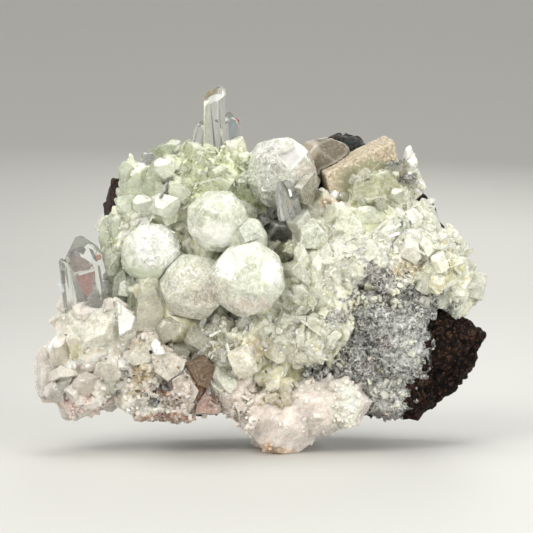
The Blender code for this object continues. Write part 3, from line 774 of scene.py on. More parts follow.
speckledLook = {
    "piece": "speckledLumps", "voxel": 0.32, "tone": (216, 204, 188), "rough": 0.5,
    "edge": 3.0, "ridgeHighlightAmount": 0.5, "creaseShadeGain": 2.5, "creaseShadeAmount": 0.5, "mottle": 0.25,
    "relief": [
        {"kind": "cells", "size": 1.8, "seed": 21, "depth": 0.5, "turn": 0.9},
        {"kind": "cells", "size": 0.8, "seed": 22, "depth": 0.3, "turn": 1.4},
        {"kind": "clouds", "size": 1.2, "seed": 23, "depth": 0.25},
    ],
    "patches": {
        "sugarCrust": {"at": (140, 409), "half": (20, 9), "tone": (240, 234, 222)},
        "rustyTop": {"at": (140, 374), "half": (16, 9), "tone": (180, 158, 108)},
        "brownPit": {"at": (165, 386), "half": (7, 7), "tone": (84, 58, 32)},
        "pinkishSide": {"at": (178, 392), "half": (12, 20), "tone": (222, 204, 194)},
        "brownWedge": {"at": (206, 382), "half": (16, 26), "tone": (132, 92, 68), "smooth": 0.8,
                       "rough": 0.2},
        "redRim": {"at": (176, 419), "half": (42, 5), "tone": (176, 120, 98)},
        "greyPlate": {"at": (150, 350), "half": (18, 14), "tone": (206, 198, 182), "smooth": 0.5},
    },
}
footLook = {
    "piece": "silkyFoot", "voxel": 0.37, "tone": (232, 219, 209), "rough": 0.34,
    "edge": 2.5, "ridgeHighlightAmount": 0.4, "creaseShadeGain": 2.0, "creaseShadeAmount": 0.3, "mottle": 0.08,
    "relief": [
        {"kind": "clouds", "size": 3.0, "seed": 31, "depth": 0.15},
        {"kind": "clouds", "size": 0.9, "seed": 32, "depth": 0.08},
    ],
    "patches": {
        "creamRight": {"at": (346, 410), "half": (14, 28), "tone": (248, 244, 228), "rough": 0.6},
        "orangeStain": {"at": (262, 450), "half": (7, 5), "tone": (214, 164, 106)},
        "tanStain": {"at": (282, 452), "half": (14, 4), "tone": (206, 172, 132)},
        "pinkGrey": {"at": (240, 402), "half": (20, 20), "tone": (214, 198, 184)},
        "yellowLine": {"at": (276, 400), "half": (18, 8), "tone": (158, 138, 86)},
    },
}
druseLook = {
    "piece": "druseBed", "voxel": 0.40, "tone": (130, 126, 120), "rough": 0.4,
    "edge": 3.0, "ridgeHighlightAmount": 0.7, "creaseShadeGain": 3.0, "creaseShadeAmount": 0.8, "mottle": 0.5,
    "relief": [
        {"kind": "cells", "size": 1.3, "seed": 41, "depth": 0.6, "turn": 0.9},
        {"kind": "clouds", "size": 1.6, "seed": 42, "depth": 0.4},
    ],
    "patches": {
        "darkTop": {"at": (378, 290), "half": (18, 16), "tone": (52, 44, 40), "ragged": 8,
                    "smooth": 0.3},
        "darkLeft": {"at": (352, 330), "half": (20, 15), "tone": (52, 46, 42), "ragged": 8,
                     "smooth": 0.3},
        "darkLow": {"at": (346, 364), "half": (16, 8), "tone": (60, 56, 50)},
        "redSpot": {"at": (385, 343), "half": (6, 6), "tone": (84, 44, 34)},
        "brownSpot": {"at": (367, 370), "half": (7, 10), "tone": (104, 74, 54)},
        "whiteRight": {"at": (408, 346), "half": (22, 28), "tone": (255, 255, 250),
                       "smooth": 0.45},
        "whiteLow": {"at": (378, 397), "half": (34, 18), "tone": (232, 230, 224), "smooth": 0.3},
        "pinkRim": {"at": (390, 418), "half": (24, 4), "tone": (196, 150, 138)},
    },
}
basaltLook = {
    "piece": "basaltRock", "voxel": 0.57, "tone": (34, 23, 18), "rough": 0.9,
    "edge": 3.0, "ridgeHighlightAmount": 0.45, "edgeTone": (112, 80, 62), "creaseShadeGain": 3.0, "creaseShadeAmount": 0.8,
    "mottle": 0.5,
    "relief": [
        {"kind": "clouds", "size": 7.0, "seed": 55, "depth": 1.5},
        {"kind": "cells", "size": 3.4, "seed": 51, "depth": 0.9, "turn": 1.2},
        {"kind": "cells", "size": 1.5, "seed": 54, "depth": 0.5, "turn": 2.0},
        {"kind": "clouds", "size": 1.6, "seed": 52, "depth": 0.6},
        {"kind": "cracks", "size": 6.0, "seed": 56, "depth": 0.7},
    ],
    "patches": {
        "redRight": {"at": (470, 345), "half": (16, 16), "tone": (66, 45, 36), "amount": 0.7},
        "redLow": {"at": (417, 397), "half": (14, 13), "tone": (66, 42, 32), "amount": 0.7},
        "leftSliver": {"at": (112, 205), "half": (12, 36), "tone": (52, 40, 36), "smooth": 0.8,
                       "rough": 0.25},
        "blueSliver": {"at": (352, 140), "half": (24, 9), "tone": (44, 58, 60), "smooth": 0.8,
                       "rough": 0.25},
    },
}
rhombLook = {
    "piece": "calciteRhomb", "voxel": 0.30, "tone": (196, 182, 154), "rough": 0.6, "swell": 0.08,
    "edge": 3.0, "ridgeHighlightAmount": 0.5, "edgeTone": (240, 232, 214), "creaseShadeGain": 2.0,
    "relief": [
        {"kind": "clouds", "size": 0.7, "seed": 61, "depth": 0.16},
        {"kind": "cells", "size": 0.9, "seed": 62, "depth": 0.12},
    ],
    "patches": {
        "coat": {"at": (372, 184), "half": (34, 24), "tone": (146, 147, 116), "smooth": 0.7,
                 "rough": 0.15, "ragged": 2},
        "paleBand": {"at": (326, 186), "half": (7, 18), "tone": (206, 192, 168)},
    },
}
knobLook = {
    "piece": "calciteKnob", "voxel": 0.28, "tone": (106, 96, 76), "rough": 0.5, "swell": 0.1,
    "relief": [
        {"kind": "clouds", "size": 1.4, "seed": 65, "depth": 0.25},
        {"kind": "clouds", "size": 0.6, "seed": 66, "depth": 0.12},
    ],
    "patches": {
        "smoothTop": {"at": (330, 146), "half": (60, 40), "tone": (104, 95, 78), "smooth": 1.0},
        "palerLeft": {"at": (306, 150), "half": (12, 12), "tone": (160, 148, 130)},
    },
}
frosted = [
    {"kind": "clouds", "size": 2.2, "seed": 71, "depth": 0.14},
    {"kind": "cells", "size": 1.0, "seed": 72, "depth": 0.10},
]
trioLook = {
    "piece": "analcimeTrio", "voxel": 0.30, "tone": (196, 200, 178), "rough": 0.30, "mottle": 0.10,
    "edge": 2.0, "ridgeHighlightAmount": 0.7, "creaseShadeGain": 2.0, "creaseShadeAmount": 0.35, "soften": 2,
    "relief": frosted, "round": 0.35,
    "balls": [((-2.8, -15.0, 35.4), 7.4), ((-8.9, -10.2, 46.9), 6.1), ((-13.8, -12.0, 33.8), 6.5),
              ((-3.4, -10.6, 43.2), 4.4)],
    "frost": [(193, 287, 30, 30, 0.7), (250, 300, 34, 20, 0.6), (217, 236, 26, 14, 0.5)],
    "flats": {
        # painted highlight: a facet where the light falls, tinted near white
        "paintedHighlightFacet": {"outline": [(217, 249), (231, 250), (236, 262), (231, 281), (217, 272)],
                   "tone": (248, 249, 242), "rough": 0.2, "raise": -0.1},
    },
    "patches": {
        "lowerLeft": {"at": (196, 292), "half": (32, 30), "tone": (196, 194, 174)},
        "brownish": {"at": (205, 296), "half": (14, 12), "tone": (176, 164, 142)},
        "pinkLow": {"at": (250, 306), "half": (26, 8), "tone": (214, 202, 188)},
        # painted highlights where the light falls on the balls
        "upperHighlight": {"at": (214, 234), "half": (20, 13), "tone": (246, 246, 236)},
        "rightHighlight": {"at": (271, 273), "half": (10, 14), "tone": (250, 250, 244)},
    },
}
topLook = {
    "piece": "analcimeTop", "voxel": 0.24, "tone": (180, 180, 167), "rough": 0.28, "mottle": 0.16,
    "edge": 2.0, "ridgeHighlightAmount": 0.6, "creaseShadeGain": 2.0, "creaseShadeAmount": 0.3, "soften": 2,
    "relief": frosted, "round": 0.3, "balls": [((3.6, -1.0, 56.2), 7.5)],
    "frost": [(255, 180, 26, 30, 0.6)],
    "flats": {
        # painted reflection: the kite facet's flat tone stands in for what it reflects
        "reflectingKite": {"outline": [(277, 152), (296, 142), (303, 154), (290, 171)],
                 "tone": (184, 182, 178), "rough": 0.45, "raise": -0.1},
        "right": {"outline": [(299, 142), (311, 146), (319, 160), (316, 170), (305, 156)],
                  "tone": (170, 164, 154), "rough": 0.2},
    },
    "patches": {
        "pinkRight": {"at": (308, 176), "half": (10, 14), "tone": (196, 184, 170)},
        "greenLeft": {"at": (247, 175), "half": (10, 26), "tone": (190, 198, 172)},
        "greyTop": {"at": (265, 146), "half": (14, 8), "tone": (184, 184, 178)},
    },
}
leftLook = {
    "piece": "analcimeLeft", "voxel": 0.24, "tone": (206, 210, 190), "rough": 0.3, "mottle": 0.12,
    "edge": 2.5, "ridgeHighlightAmount": 0.7, "creaseShadeGain": 2.0, "creaseShadeAmount": 0.35, "soften": 1,
    "relief": [
        {"kind": "clouds", "size": 1.6, "seed": 75, "depth": 0.35},
        {"kind": "cells", "size": 1.0, "seed": 76, "depth": 0.3},
    ],
    "round": 0.6, "balls": [((-22.4, -9.0, 40.4), 5.9), ((-17.6, -7.6, 37.4), 3.4)],
    "frost": [(158, 246, 24, 24, 1.0)],
    "patches": {
        "whiteCentre": {"at": (156, 246), "half": (22, 21), "tone": (242, 243, 234)},
        "greenFoot": {"at": (140, 275), "half": (30, 8), "tone": (204, 212, 188), "smooth": 0.6},
    },
}

crust = finishSkin("prehnite_crust", crustLook, materials["prehnite"])
pink = finishSkin("pink_crystal_cluster", pinkLook, materials["pinkCrystal"])
speckled = finishSkin("speckled_lumps", speckledLook, materials["speckled"])
foot = finishSkin("fibrous_foot", footLook, materials["silky"])
druse = finishSkin("quartz_druse", druseLook, materials["druse"])
basalt = finishSkin("basalt_matrix", basaltLook, materials["basalt"])
rhomb = finishSkin("calcite_rhomb", rhombLook, materials["calcite"])
knob = finishSkin("calcite_knob", knobLook, materials["calcite"])
trio = finishSkin("analcime_trio", trioLook, materials["analcime"])
top = finishSkin("analcime_top", topLook, materials["analcime"])
left = finishSkin("analcime_left", leftLook, materials["analcime"])
print("skins ready")


# Small crystals: one mesh that holds a shape many times

def shapeMesh(bm):
    bmesh.ops.recalc_face_normals(bm, faces=bm.faces)
    mesh = bpy.data.meshes.new("shape")
    bm.to_mesh(mesh)
    bm.free()
    return mesh


def blockShape(slopes, bevel):
    # a crystal cut at its upper end, its bevelled edges marked
    bm = bmesh.new()
    bmesh.ops.create_cube(bm, size=1)
    bmesh.ops.translate(bm, verts=bm.verts, vec=(0, 0, 0.5))
    for x, y, z, at in slopes:
        cut = bmesh.ops.bisect_plane(bm, geom=bm.verts[:] + bm.edges[:] + bm.faces[:], dist=1e-5,
                                     plane_co=(0, 0, at), clear_outer=True, plane_no=(x, y, z))
        rim = [part for part in cut["geom_cut"] if isinstance(part, bmesh.types.BMEdge)]
        bmesh.ops.edgeloop_fill(bm, edges=[edge for edge in rim if edge.is_boundary])
    markEdges(bm, bevel)
    return shapeMesh(bm)


def chipShape(seed, cuts, bevel):
    # a broken bit of crystal: a cube cut by uneven planes
    chance = random.Random(seed)
    bm = bmesh.new()
    bmesh.ops.create_cube(bm, size=1)
    for _ in range(cuts):
        outward = Vector([chance.gauss(0, 1) for _ in range(3)]).normalized()
        cut = bmesh.ops.bisect_plane(bm, geom=bm.verts[:] + bm.edges[:] + bm.faces[:], dist=1e-5,
                                     plane_co=outward * chance.uniform(0.36, 0.52),
                                     clear_outer=True, plane_no=outward)
        rim = [part for part in cut["geom_cut"] if isinstance(part, bmesh.types.BMEdge)]
        bmesh.ops.edgeloop_fill(bm, edges=[edge for edge in rim if edge.is_boundary])
    bmesh.ops.translate(bm, verts=bm.verts, vec=(0, 0, 0.5))
    markEdges(bm, bevel)
    return shapeMesh(bm)


def markEdges(bm, bevel):
    if bevel:
        made = bmesh.ops.bevel(bm, geom=bm.edges[:], offset=bevel, segments=1, profile=0.5,
                               affect="EDGES", clamp_overlap=True, material=-1)
        for face in made["faces"]:
            face.material_index = 1


def pointShape():
    # a six-sided prism with a pointed end
    bm = bmesh.new()
    lower = Matrix.Translation((0, 0, 0.3))
    upper = Matrix.Translation((0, 0, 0.8))
    bmesh.ops.create_cone(bm, cap_ends=False, segments=6, radius1=0.5, radius2=0.46, depth=0.6,
                          matrix=lower)
    bmesh.ops.create_cone(bm, cap_ends=False, segments=6, radius1=0.46, radius2=0, depth=0.4,
                          matrix=upper)
    bmesh.ops.remove_doubles(bm, verts=bm.verts, dist=1e-4)
    return shapeMesh(bm)


forms = {
    "block": [blockShape([(0.5, 0.2, 1, 0.95), (-0.7, 0.1, 0.8, 1.0)], 0.04)],
    "blade": [blockShape([(0.7, 0.1, 0.6, 1.0), (-0.4, 0.1, 0.6, 1.05)], 0.05)],
    "chip": [chipShape(seed, 6, 0.03) for seed in (1, 2, 3, 4)],
    "lump": [chipShape(8, 14, 0.06)],
    "grain": [chipShape(seed, 3, 0) for seed in (5, 6, 7)],
    "needle": [blockShape([(0.8, 0, 0.6, 1.0)], 0)],
    "point": [pointShape()],
}


def placed(shapes, places, footTints, tipTints, rimHighlightTints, roughness):
    # the parts of a joined mesh: a few shapes, each placed many times
    parts = []
    for turn, shape in enumerate(shapes):
        mine = slice(turn, None, len(shapes))
        count = len(places[mine])
        flat = np.ones((len(shape.vertices), 4))
        flat[:, :3] = [vert.co for vert in shape.vertices]
        points = np.einsum("kij,nj->kni", places[mine], flat)[:, :, :3].reshape(-1, 3)
        ring = np.array([loop.vertex_index for loop in shape.loops])
        marked = np.zeros(len(ring))
        for face in shape.polygons:
            marked[face.loop_start:face.loop_start + face.loop_total] = face.material_index
        shift = np.arange(count)[:, None]
        corners = (ring + shift * len(flat)).ravel()
        first = np.array([face.loop_start for face in shape.polygons])
        rise = np.clip(flat[ring, 2], 0, 1)[None, :, None]
        colours = footTints[mine][:, None, :] * (1 - rise) + tipTints[mine][:, None, :] * rise
        # painted highlight: the bevelled edge faces are lightened toward the rim tone
        colours += (rimHighlightTints[mine][:, None, :] - colours) * marked[None, :, None] * 0.6
        values = np.empty((count, len(ring), 4), dtype=np.float32)
        values[:, :, :3] = np.clip(colours, 0, 1)
        values[:, :, 3] = roughness[mine][:, None]
        parts.append((points, corners, (first + shift * len(ring)).ravel(), values.reshape(-1, 4)))
    return parts


def joined(parts):
    points, corners, starts, tints = [], [], [], []
    pointCount = cornerCount = 0
    for somePoints, someCorners, someStarts, someTints in parts:
        points.append(somePoints)
        corners.append(someCorners + pointCount)
        starts.append(someStarts + cornerCount)
        tints.append(someTints)
        pointCount += len(somePoints)
        cornerCount += len(someCorners)
    mesh = bpy.data.meshes.new("crowd")
    mesh.vertices.add(pointCount)
    mesh.loops.add(cornerCount)
    mesh.polygons.add(sum(len(rows) for rows in starts))
    mesh.vertices.foreach_set("co", np.concatenate(points).ravel())
    mesh.loops.foreach_set("vertex_index", np.concatenate(corners))
    mesh.polygons.foreach_set("loop_start", np.concatenate(starts))
    mesh.update(calc_edges=True)
    attribute = mesh.color_attributes.new("tint", "FLOAT_COLOR", "CORNER")
    attribute.data.foreach_set("color", np.concatenate(tints).ravel())
    return mesh


def scatterOn(piece, count, chance):
    # places on a piece's surface, evenly by area
    mesh = piece.data
    mesh.calc_loop_triangles()
    corners = np.empty(len(mesh.loop_triangles) * 3, dtype=int)
    mesh.loop_triangles.foreach_get("vertices", corners)
    points, _ = arraysOf(mesh)
    a, b, c = points[corners].reshape(-1, 3, 3).transpose(1, 0, 2)
    cross = np.cross(b - a, c - a)
    area = np.linalg.norm(cross, axis=1)
    picked = chance.choice(len(area), size=count, p=area / area.sum())
    s, t = chance.random(count), chance.random(count)
    flip = s + t > 1
    s[flip], t[flip] = 1 - s[flip], 1 - t[flip]
    spots = a[picked] + (b - a)[picked] * s[:, None] + (c - a)[picked] * t[:, None]
    return spots, cross[picked] / area[picked][:, None]


def unit(rows):
    return rows / (np.linalg.norm(rows, axis=1)[:, None] + 1e-12)


def aimed(spots, directions, sides, sizes, sink):
    # matrices that stand the unit shape at each spot. Sizes are width, depth, length in mm
    ups = unit(directions)
    wides = unit(np.cross(sides, ups))
    made = np.zeros((len(spots), 4, 4))
    made[:, :3, 0] = wides * sizes[:, :1] * mm
    made[:, :3, 1] = np.cross(ups, wides) * sizes[:, 1:2] * mm
    made[:, :3, 2] = ups * sizes[:, 2:] * mm
    made[:, :3, 3] = spots - ups * sizes[:, 2:] * sink * mm
    made[:, 3, 3] = 1
    return made


def zoneShare(crowd, spots, outward):
    # where a crowd grows: oval zones in the picture, and a share of everything else
    u, v = toPixels(spots)
    share = np.full(len(spots), crowd.get("elsewhere", 0.0))
    clumps = crowd.get("clumps", 0)
    front = outward @ -np.array(ahead) > 0.02
    for x, y, w, h, amount in crowd.get("zones", ()):
        reach = np.hypot((u - x) / w, (v - y) / h)
        share[front & (reach < 1)] = amount
    if clumps:
        share *= np.clip(0.6 + cloudsAt(spots, clumps, 7) * 3, 0.1, 1)
    return share


def growCrowd(piece, look, crowd, material):
    chance = np.random.default_rng(crowd["seed"])
    spots, outward = scatterOn(piece, crowd["count"], chance)
    luck = chance.random(len(spots))
    keep = luck < zoneShare(crowd, spots, outward)
    spots, outward, luck = spots[keep], outward[keep], luck[keep]
    colours, roughness, calm = paintOf(look, spots, outward)
    room = crowd.get("room", 0.8) * mm
    for index in range(len(spots)):
        start = Vector(spots[index] + outward[index] * 0.5 * mm)
        if calm[index] < 0.5 or spots[index][2] < 0.8 * mm:
            luck[index] = 2
        elif allSolids.ray_cast(start, Vector(outward[index]), room)[0]:
            luck[index] = 2
    keep = luck < 1
    spots, outward, colours, roughness = spots[keep], outward[keep], colours[keep], roughness[keep]
    count = len(spots)
    directions = outward
    if "fan" in crowd:
        # crystals turn away from shared centres under the surface, so they stand in rosettes
        centres = (spots - outward * crowd["fanDepth"] * mm)[::crowd["fanSize"]]
        gaps = np.linalg.norm(spots[:, None, :] - centres[None, :, :], axis=2)
        away = unit(spots - centres[gaps.argmin(axis=1)])
        directions = outward * (1 - crowd["fan"]) + away * crowd["fan"]
    lie = crowd.get("lie", 0)
    if lie:
        u, v = toPixels(spots)
        along = chance.normal(0, 1, (count, 3))
        if "roots" in crowd:
            # in the picture the crystals run away from the nearest of some points
            roots = np.array(crowd["roots"], dtype=float)
            gaps = np.hypot(u[:, None] - roots[:, 0], v[:, None] - roots[:, 1])
            root = roots[gaps.argmin(axis=1)]
            away = (u - root[:, 0])[:, None] * np.array(across)
            away = away + (root[:, 1] - v)[:, None] * np.array(upward)
            along = unit(away) + along * 0.15
        along = unit(along - outward * (along * outward).sum(axis=1)[:, None])
        directions = directions * (1 - lie) + along * lie
    directions = unit(directions + chance.normal(0, crowd["lean"], (count, 3)))
    sides = outward if lie > 0.5 else chance.normal(0, 1, (count, 3))
    grow = np.exp(chance.normal(0, crowd.get("vary", 0.3), count))[:, None]
    ranges = np.array([crowd["width"], crowd["depth"], crowd["length"]])
    sizes = (ranges[:, 0] + (ranges[:, 1] - ranges[:, 0]) * chance.random((count, 3))) * grow
    places = aimed(spots, directions, sides, sizes, crowd["sink"])
    # some crystals turn paler at random: partly their own tone, partly painted glints
    paleGlint = chance.random(count)[:, None] ** crowd.get("paleness", 2)
    colours = colours * (1 + chance.normal(0, crowd.get("uneven", 0.06), count)[:, None])
    white = tone(*crowd.get("white", (252, 252, 244)))
    tips = colours + (white - colours) * (crowd.get("tip", 0.2) + crowd.get("glintLift", 0.5) * paleGlint)
    # painted highlight: tones for the bevelled edges, paler than the tips
    edges = tips + (white - tips) * crowd.get("rim", 0.6)
    parts = placed(forms[crowd["form"]], places, colours * crowd.get("foot", 0.95), tips, edges,
                   np.clip(roughness * crowd.get("gloss", 0.5), 0.05, 1))
    return addPiece(crowd["piece"], joined(parts), material, smooth=False)


crustCrowds = [
    {"piece": "greenBlades", "form": "blade", "count": 7000, "seed": 301, "vary": 0.25,
     "zones": [(203, 172, 44, 36, 0.7), (150, 165, 30, 18, 0.2)],
     "width": (0.9, 1.8), "depth": (0.2, 0.45), "length": (1.6, 2.8), "sink": 0.5, "lean": 0.2,
     "fan": 0.8, "fanDepth": 2.2, "fanSize": 16, "tip": 0.1},
    {"piece": "paleBlocks", "form": "chip", "count": 900, "seed": 304, "elsewhere": 0.4,
     "width": (2.0, 4.2), "depth": (1.4, 3.0), "length": (2.0, 4.0), "sink": 0.68, "lean": 0.35,
     "zones": [(143, 200, 46, 60, 0.5), (385, 240, 80, 50, 0.10), (303, 342, 44, 30, 0.5),
               (400, 274, 76, 26, 0.05), (352, 302, 26, 30, 0.08)]},
    {"piece": "smallBlocks", "form": "chip", "count": 1900, "seed": 306, "elsewhere": 0.3,
     "width": (0.9, 1.9), "depth": (0.6, 1.4), "length": (0.9, 1.9), "sink": 0.6, "lean": 0.5,
     "zones": [(143, 200, 46, 60, 0.4), (385, 240, 80, 50, 0.3), (303, 342, 44, 30, 0.8),
               (400, 274, 76, 26, 0.15), (352, 302, 26, 30, 0.2)]},
    {"piece": "creamBlades", "form": "blade", "count": 4200, "seed": 305,
     "zones": [(303, 342, 42, 26, 0.7), (245, 352, 30, 18, 0.5), (385, 232, 30, 18, 0.4)],
     "width": (1.2, 2.6), "depth": (0.3, 0.7), "length": (1.8, 3.0), "sink": 0.55, "lean": 0.25,
     "fan": 0.7, "fanDepth": 3.0, "fanSize": 12, "tip": 0.4, "glintLift": 0.8},
    {"piece": "slopeBlades", "form": "blade", "count": 4200, "seed": 307,
     "zones": [(390, 246, 84, 52, 0.55), (303, 286, 28, 46, 0.35), (392, 284, 56, 18, 0.06)],
     "width": (1.2, 3.0), "depth": (0.25, 0.5), "length": (2.0, 4.4), "sink": 0.5, "lean": 0.12,
     "lie": 0.8, "room": 0.4, "tip": 0.3, "gloss": 0.5,
     "roots": [(340, 246), (318, 320), (378, 262), (420, 300), (300, 345), (400, 215)]},
    {"piece": "sugarGrains", "form": "grain", "count": 8000, "seed": 302, "elsewhere": 0.12,
     "width": (0.3, 0.7), "depth": (0.25, 0.5), "length": (0.4, 0.9), "sink": 0.5, "lean": 0.6,
     "room": 0.4, "tip": 0.3,
     "zones": [(400, 272, 72, 26, 0.9), (350, 300, 40, 30, 0.8), (440, 280, 24, 34, 0.5)]},
    {"piece": "whiteNeedles", "form": "needle", "count": 12000, "seed": 303, "elsewhere": 0.0,
     "width": (0.12, 0.25), "depth": (0.10, 0.16), "length": (0.9, 2.4), "sink": 0.5, "lean": 0.06,
     "lie": 0.97, "room": 0.2, "tip": 0.6, "gloss": 0.4,
     "roots": [(340, 246), (318, 320), (378, 262), (420, 300), (300, 345), (400, 215)],
     "zones": [(385, 240, 82, 52, 0.8), (303, 290, 30, 48, 0.6), (303, 342, 44, 30, 0.3)]},
]
for crowd in crustCrowds:
    ending = "Fine" if crowd["form"] in ("needle", "grain") else "Loose"
    growCrowd(crust, crustLook, crowd, materials["prehnite" + ending])
growCrowd(druse, druseLook, {
    "piece": "drusePoints", "form": "point", "count": 7000, "seed": 311, "elsewhere": 0.6,
    "zones": [(378, 284, 20, 20, 0.15), (352, 330, 20, 14, 0.2), (410, 346, 22, 30, 0.95),
              (378, 397, 34, 20, 0.95), (436, 380, 14, 30, 0.1)],
    "width": (0.25, 0.5), "depth": (0.25, 0.5), "length": (0.5, 1.1), "sink": 0.35, "lean": 0.6,
    "room": 0.3, "paleness": 0.5, "tip": 0.3, "glintLift": 0.9, "foot": 0.8, "uneven": 0.3,
    "gloss": 0.4, "clumps": 2.0,
}, materials["druseLoose"])
growCrowd(druse, druseLook, {
    "piece": "druseLace", "form": "needle", "count": 4500, "seed": 320, "elsewhere": 0.5,
    "zones": [(378, 284, 20, 20, 0.3), (352, 330, 20, 14, 0.3), (410, 346, 22, 30, 0.8),
              (436, 380, 14, 30, 0.1)],
    "width": (0.12, 0.24), "depth": (0.1, 0.2), "length": (0.5, 1.3), "sink": 0.4, "lean": 0.3,
    "lie": 0.8, "room": 0.3, "tip": 0.7, "glintLift": 0.3, "uneven": 0.2, "clumps": 1.4,
}, materials["druseFine"])
growCrowd(crust, druseLook, {
    "piece": "borderPoints", "form": "point", "count": 46000, "seed": 317,
    "zones": [(398, 284, 46, 14, 0.35), (350, 318, 20, 36, 0.4), (377, 280, 17, 20, 0.8),
              (446, 308, 14, 16, 0.4), (326, 372, 26, 8, 0.7), (337, 318, 14, 12, 0.7)],
    "width": (0.25, 0.55), "depth": (0.25, 0.55), "length": (0.5, 1.1), "sink": 0.35, "lean": 0.6,
    "room": 0.3, "paleness": 0.5, "tip": 0.3, "glintLift": 0.9, "foot": 0.8, "uneven": 0.3,
    "gloss": 0.4, "clumps": 2.4,
}, materials["druseFine"])
growCrowd(basalt, druseLook, {
    "piece": "rockPoints", "form": "point", "count": 30000, "seed": 321,
    "zones": [(431, 335, 5, 26, 0.9), (427, 370, 5, 12, 0.9), (414, 379, 12, 4, 0.9),
              (406, 400, 4, 20, 0.9)],
    "width": (0.25, 0.55), "depth": (0.25, 0.55), "length": (0.5, 1.0), "sink": 0.35, "lean": 0.6,
    "room": 0.3, "paleness": 0.7, "tip": 0.3, "glintLift": 0.8, "foot": 0.8, "uneven": 0.3,
    "gloss": 0.4, "clumps": 2.4,
}, materials["druseFine"])
growCrowd(druse, crustLook, {
    "piece": "borderSugar", "form": "chip", "count": 1600, "seed": 318,
    "zones": [(352, 296, 20, 14, 0.8), (404, 298, 40, 10, 0.7), (335, 345, 10, 30, 0.7),
              (418, 352, 14, 30, 0.25), (380, 395, 34, 22, 0.15)],
    "width": (0.6, 1.5), "depth": (0.5, 1.0), "length": (0.6, 1.5), "sink": 0.45, "lean": 0.6,
    "tip": 0.4, "clumps": 2.4,
}, materials["prehniteLoose"])
growCrowd(foot, footLook, {
    "piece": "footChips", "form": "chip", "count": 1900, "seed": 319,
    "zones": [(268, 394, 26, 12, 0.8), (306, 382, 34, 9, 0.7), (222, 384, 14, 14, 0.6)],
    "width": (0.8, 2.0), "depth": (0.6, 1.3), "length": (0.8, 2.0), "sink": 0.5, "lean": 0.5,
    "tip": 0.3, "white": (255, 250, 232),
}, materials["silkyLoose"])
growCrowd(druse, basaltLook, {
    "piece": "basaltRubble", "form": "chip", "count": 900, "seed": 316,
    "zones": [(437, 375, 15, 32, 0.8), (430, 335, 8, 12, 0.4), (422, 402, 15, 20, 0.9)],
    "width": (1.2, 3.0), "depth": (1.0, 2.4), "length": (1.2, 3.0), "sink": 0.55, "lean": 0.6,
    "tip": 0.02, "glintLift": 0.03, "rim": 0.04, "white": (110, 84, 70), "gloss": 1.0, "uneven": 0.3,
}, materials["basalt"])
growCrowd(pink, pinkLook, {
    "piece": "pinkBlocks", "form": "chip", "count": 330, "seed": 312, "elsewhere": 0.6,
    "zones": [(98, 326, 46, 40, 0.0)], "width": (2.2, 4.6), "depth": (1.4, 3.0),
    "length": (2.2, 4.2), "sink": 0.75, "lean": 0.3, "tip": 0.5, "glintLift": 0.8,
    "white": (255, 246, 238),
}, materials["pinkCrystalLoose"])
growCrowd(pink, pinkLook, {
    "piece": "pinkGrains", "form": "grain", "count": 1800, "seed": 313, "elsewhere": 0.2,
    "zones": [(102, 318, 34, 26, 0.05), (88, 404, 52, 12, 0.8)], "width": (0.35, 0.8),
    "depth": (0.25, 0.6), "length": (0.5, 1.1), "sink": 0.5, "lean": 0.5, "room": 0.3,
}, materials["pinkCrystalFine"])
growCrowd(speckled, speckledLook, {
    "piece": "speckledGrains", "form": "grain", "count": 2000, "seed": 314, "elsewhere": 0.5,
    "width": (0.35, 0.9), "depth": (0.3, 0.6), "length": (0.5, 1.1), "sink": 0.5, "lean": 0.6,
    "zones": [(150, 350, 22, 16, 0.1)], "room": 0.3, "uneven": 0.15,
}, materials["speckledFine"])
for piece, look, seed, slot in ((trio, trioLook, 321, "analcime_trio"),
                                (top, topLook, 322, "analcime_top"),
                                (left, leftLook, 323, "analcime_left")):
    growCrowd(piece, look, {
        "piece": look["piece"] + "Frost", "form": "needle", "count": 2600, "seed": seed,
        "elsewhere": 0.1, "zones": look["frost"], "width": (0.10, 0.28), "depth": (0.08, 0.14),
        "length": (0.4, 1.1), "sink": 0.5, "lean": 0.08, "lie": 0.97, "room": 0.2, "tip": 0.7,
    }, materials["analcimeFine"])
growCrowd(foot, footLook, {
    "piece": "silkyNeedles", "form": "needle", "count": 3000, "seed": 331, "elsewhere": 0.3,
    "zones": [(300, 420, 50, 36, 0.6)], "width": (0.10, 0.2), "depth": (0.08, 0.14),
    "length": (0.8, 2.0), "sink": 0.5, "lean": 0.06, "lie": 0.97, "room": 0.2, "tip": 0.3,
    "roots": [(235, 470)],
}, materials["silkyFine"])
growCrowd(foot, footLook, {
    "piece": "footSugar", "form": "grain", "count": 2600, "seed": 332, "elsewhere": 0.05,
    "zones": [(346, 408, 14, 30, 0.9), (232, 420, 20, 18, 0.9)], "width": (0.35, 0.8),
    "depth": (0.3, 0.7), "length": (0.5, 1.0), "sink": 0.5, "lean": 0.6, "room": 0.3,
}, materials["silkyFine"])
print("small crystals ready")


# Crystals placed one by one, by picture points on the solids

def stood(rows):
    # u, v of the middle, width, depth, length in mm, lean to the right, lean to the viewer,
    # turn about its own length (degrees), how far out it stands (mm), form, tone
    parts = []
    for u, v, width, depth, length, lean, toward, spin, out, form, rowTone in rows:
        place = nearSpot(u, v) - lineThrough(u, v) * out * mm
        lean, toward, spin = math.radians(lean), math.radians(toward), math.radians(spin)
        up = (upward * math.cos(lean) + across * math.sin(lean)) * math.cos(toward)
        up -= ahead * math.sin(toward)
        side = Matrix.Rotation(spin, 3, up) @ -ahead
        places = aimed(np.array([place]), np.array([up]), np.array([side]),
                       np.array([[width, depth, length]]), 0.5)
        body = tone(*rowTone)[None, :]
        # pale is a painted highlight for the bevelled edges, and a little of it goes into the tips
        pale = body + (tone(252, 252, 246) - body) * 0.5
        parts += placed(forms[form][:1], places, body, body * 0.7 + pale * 0.3, pale,
                        np.array([0.2]))
    return parts


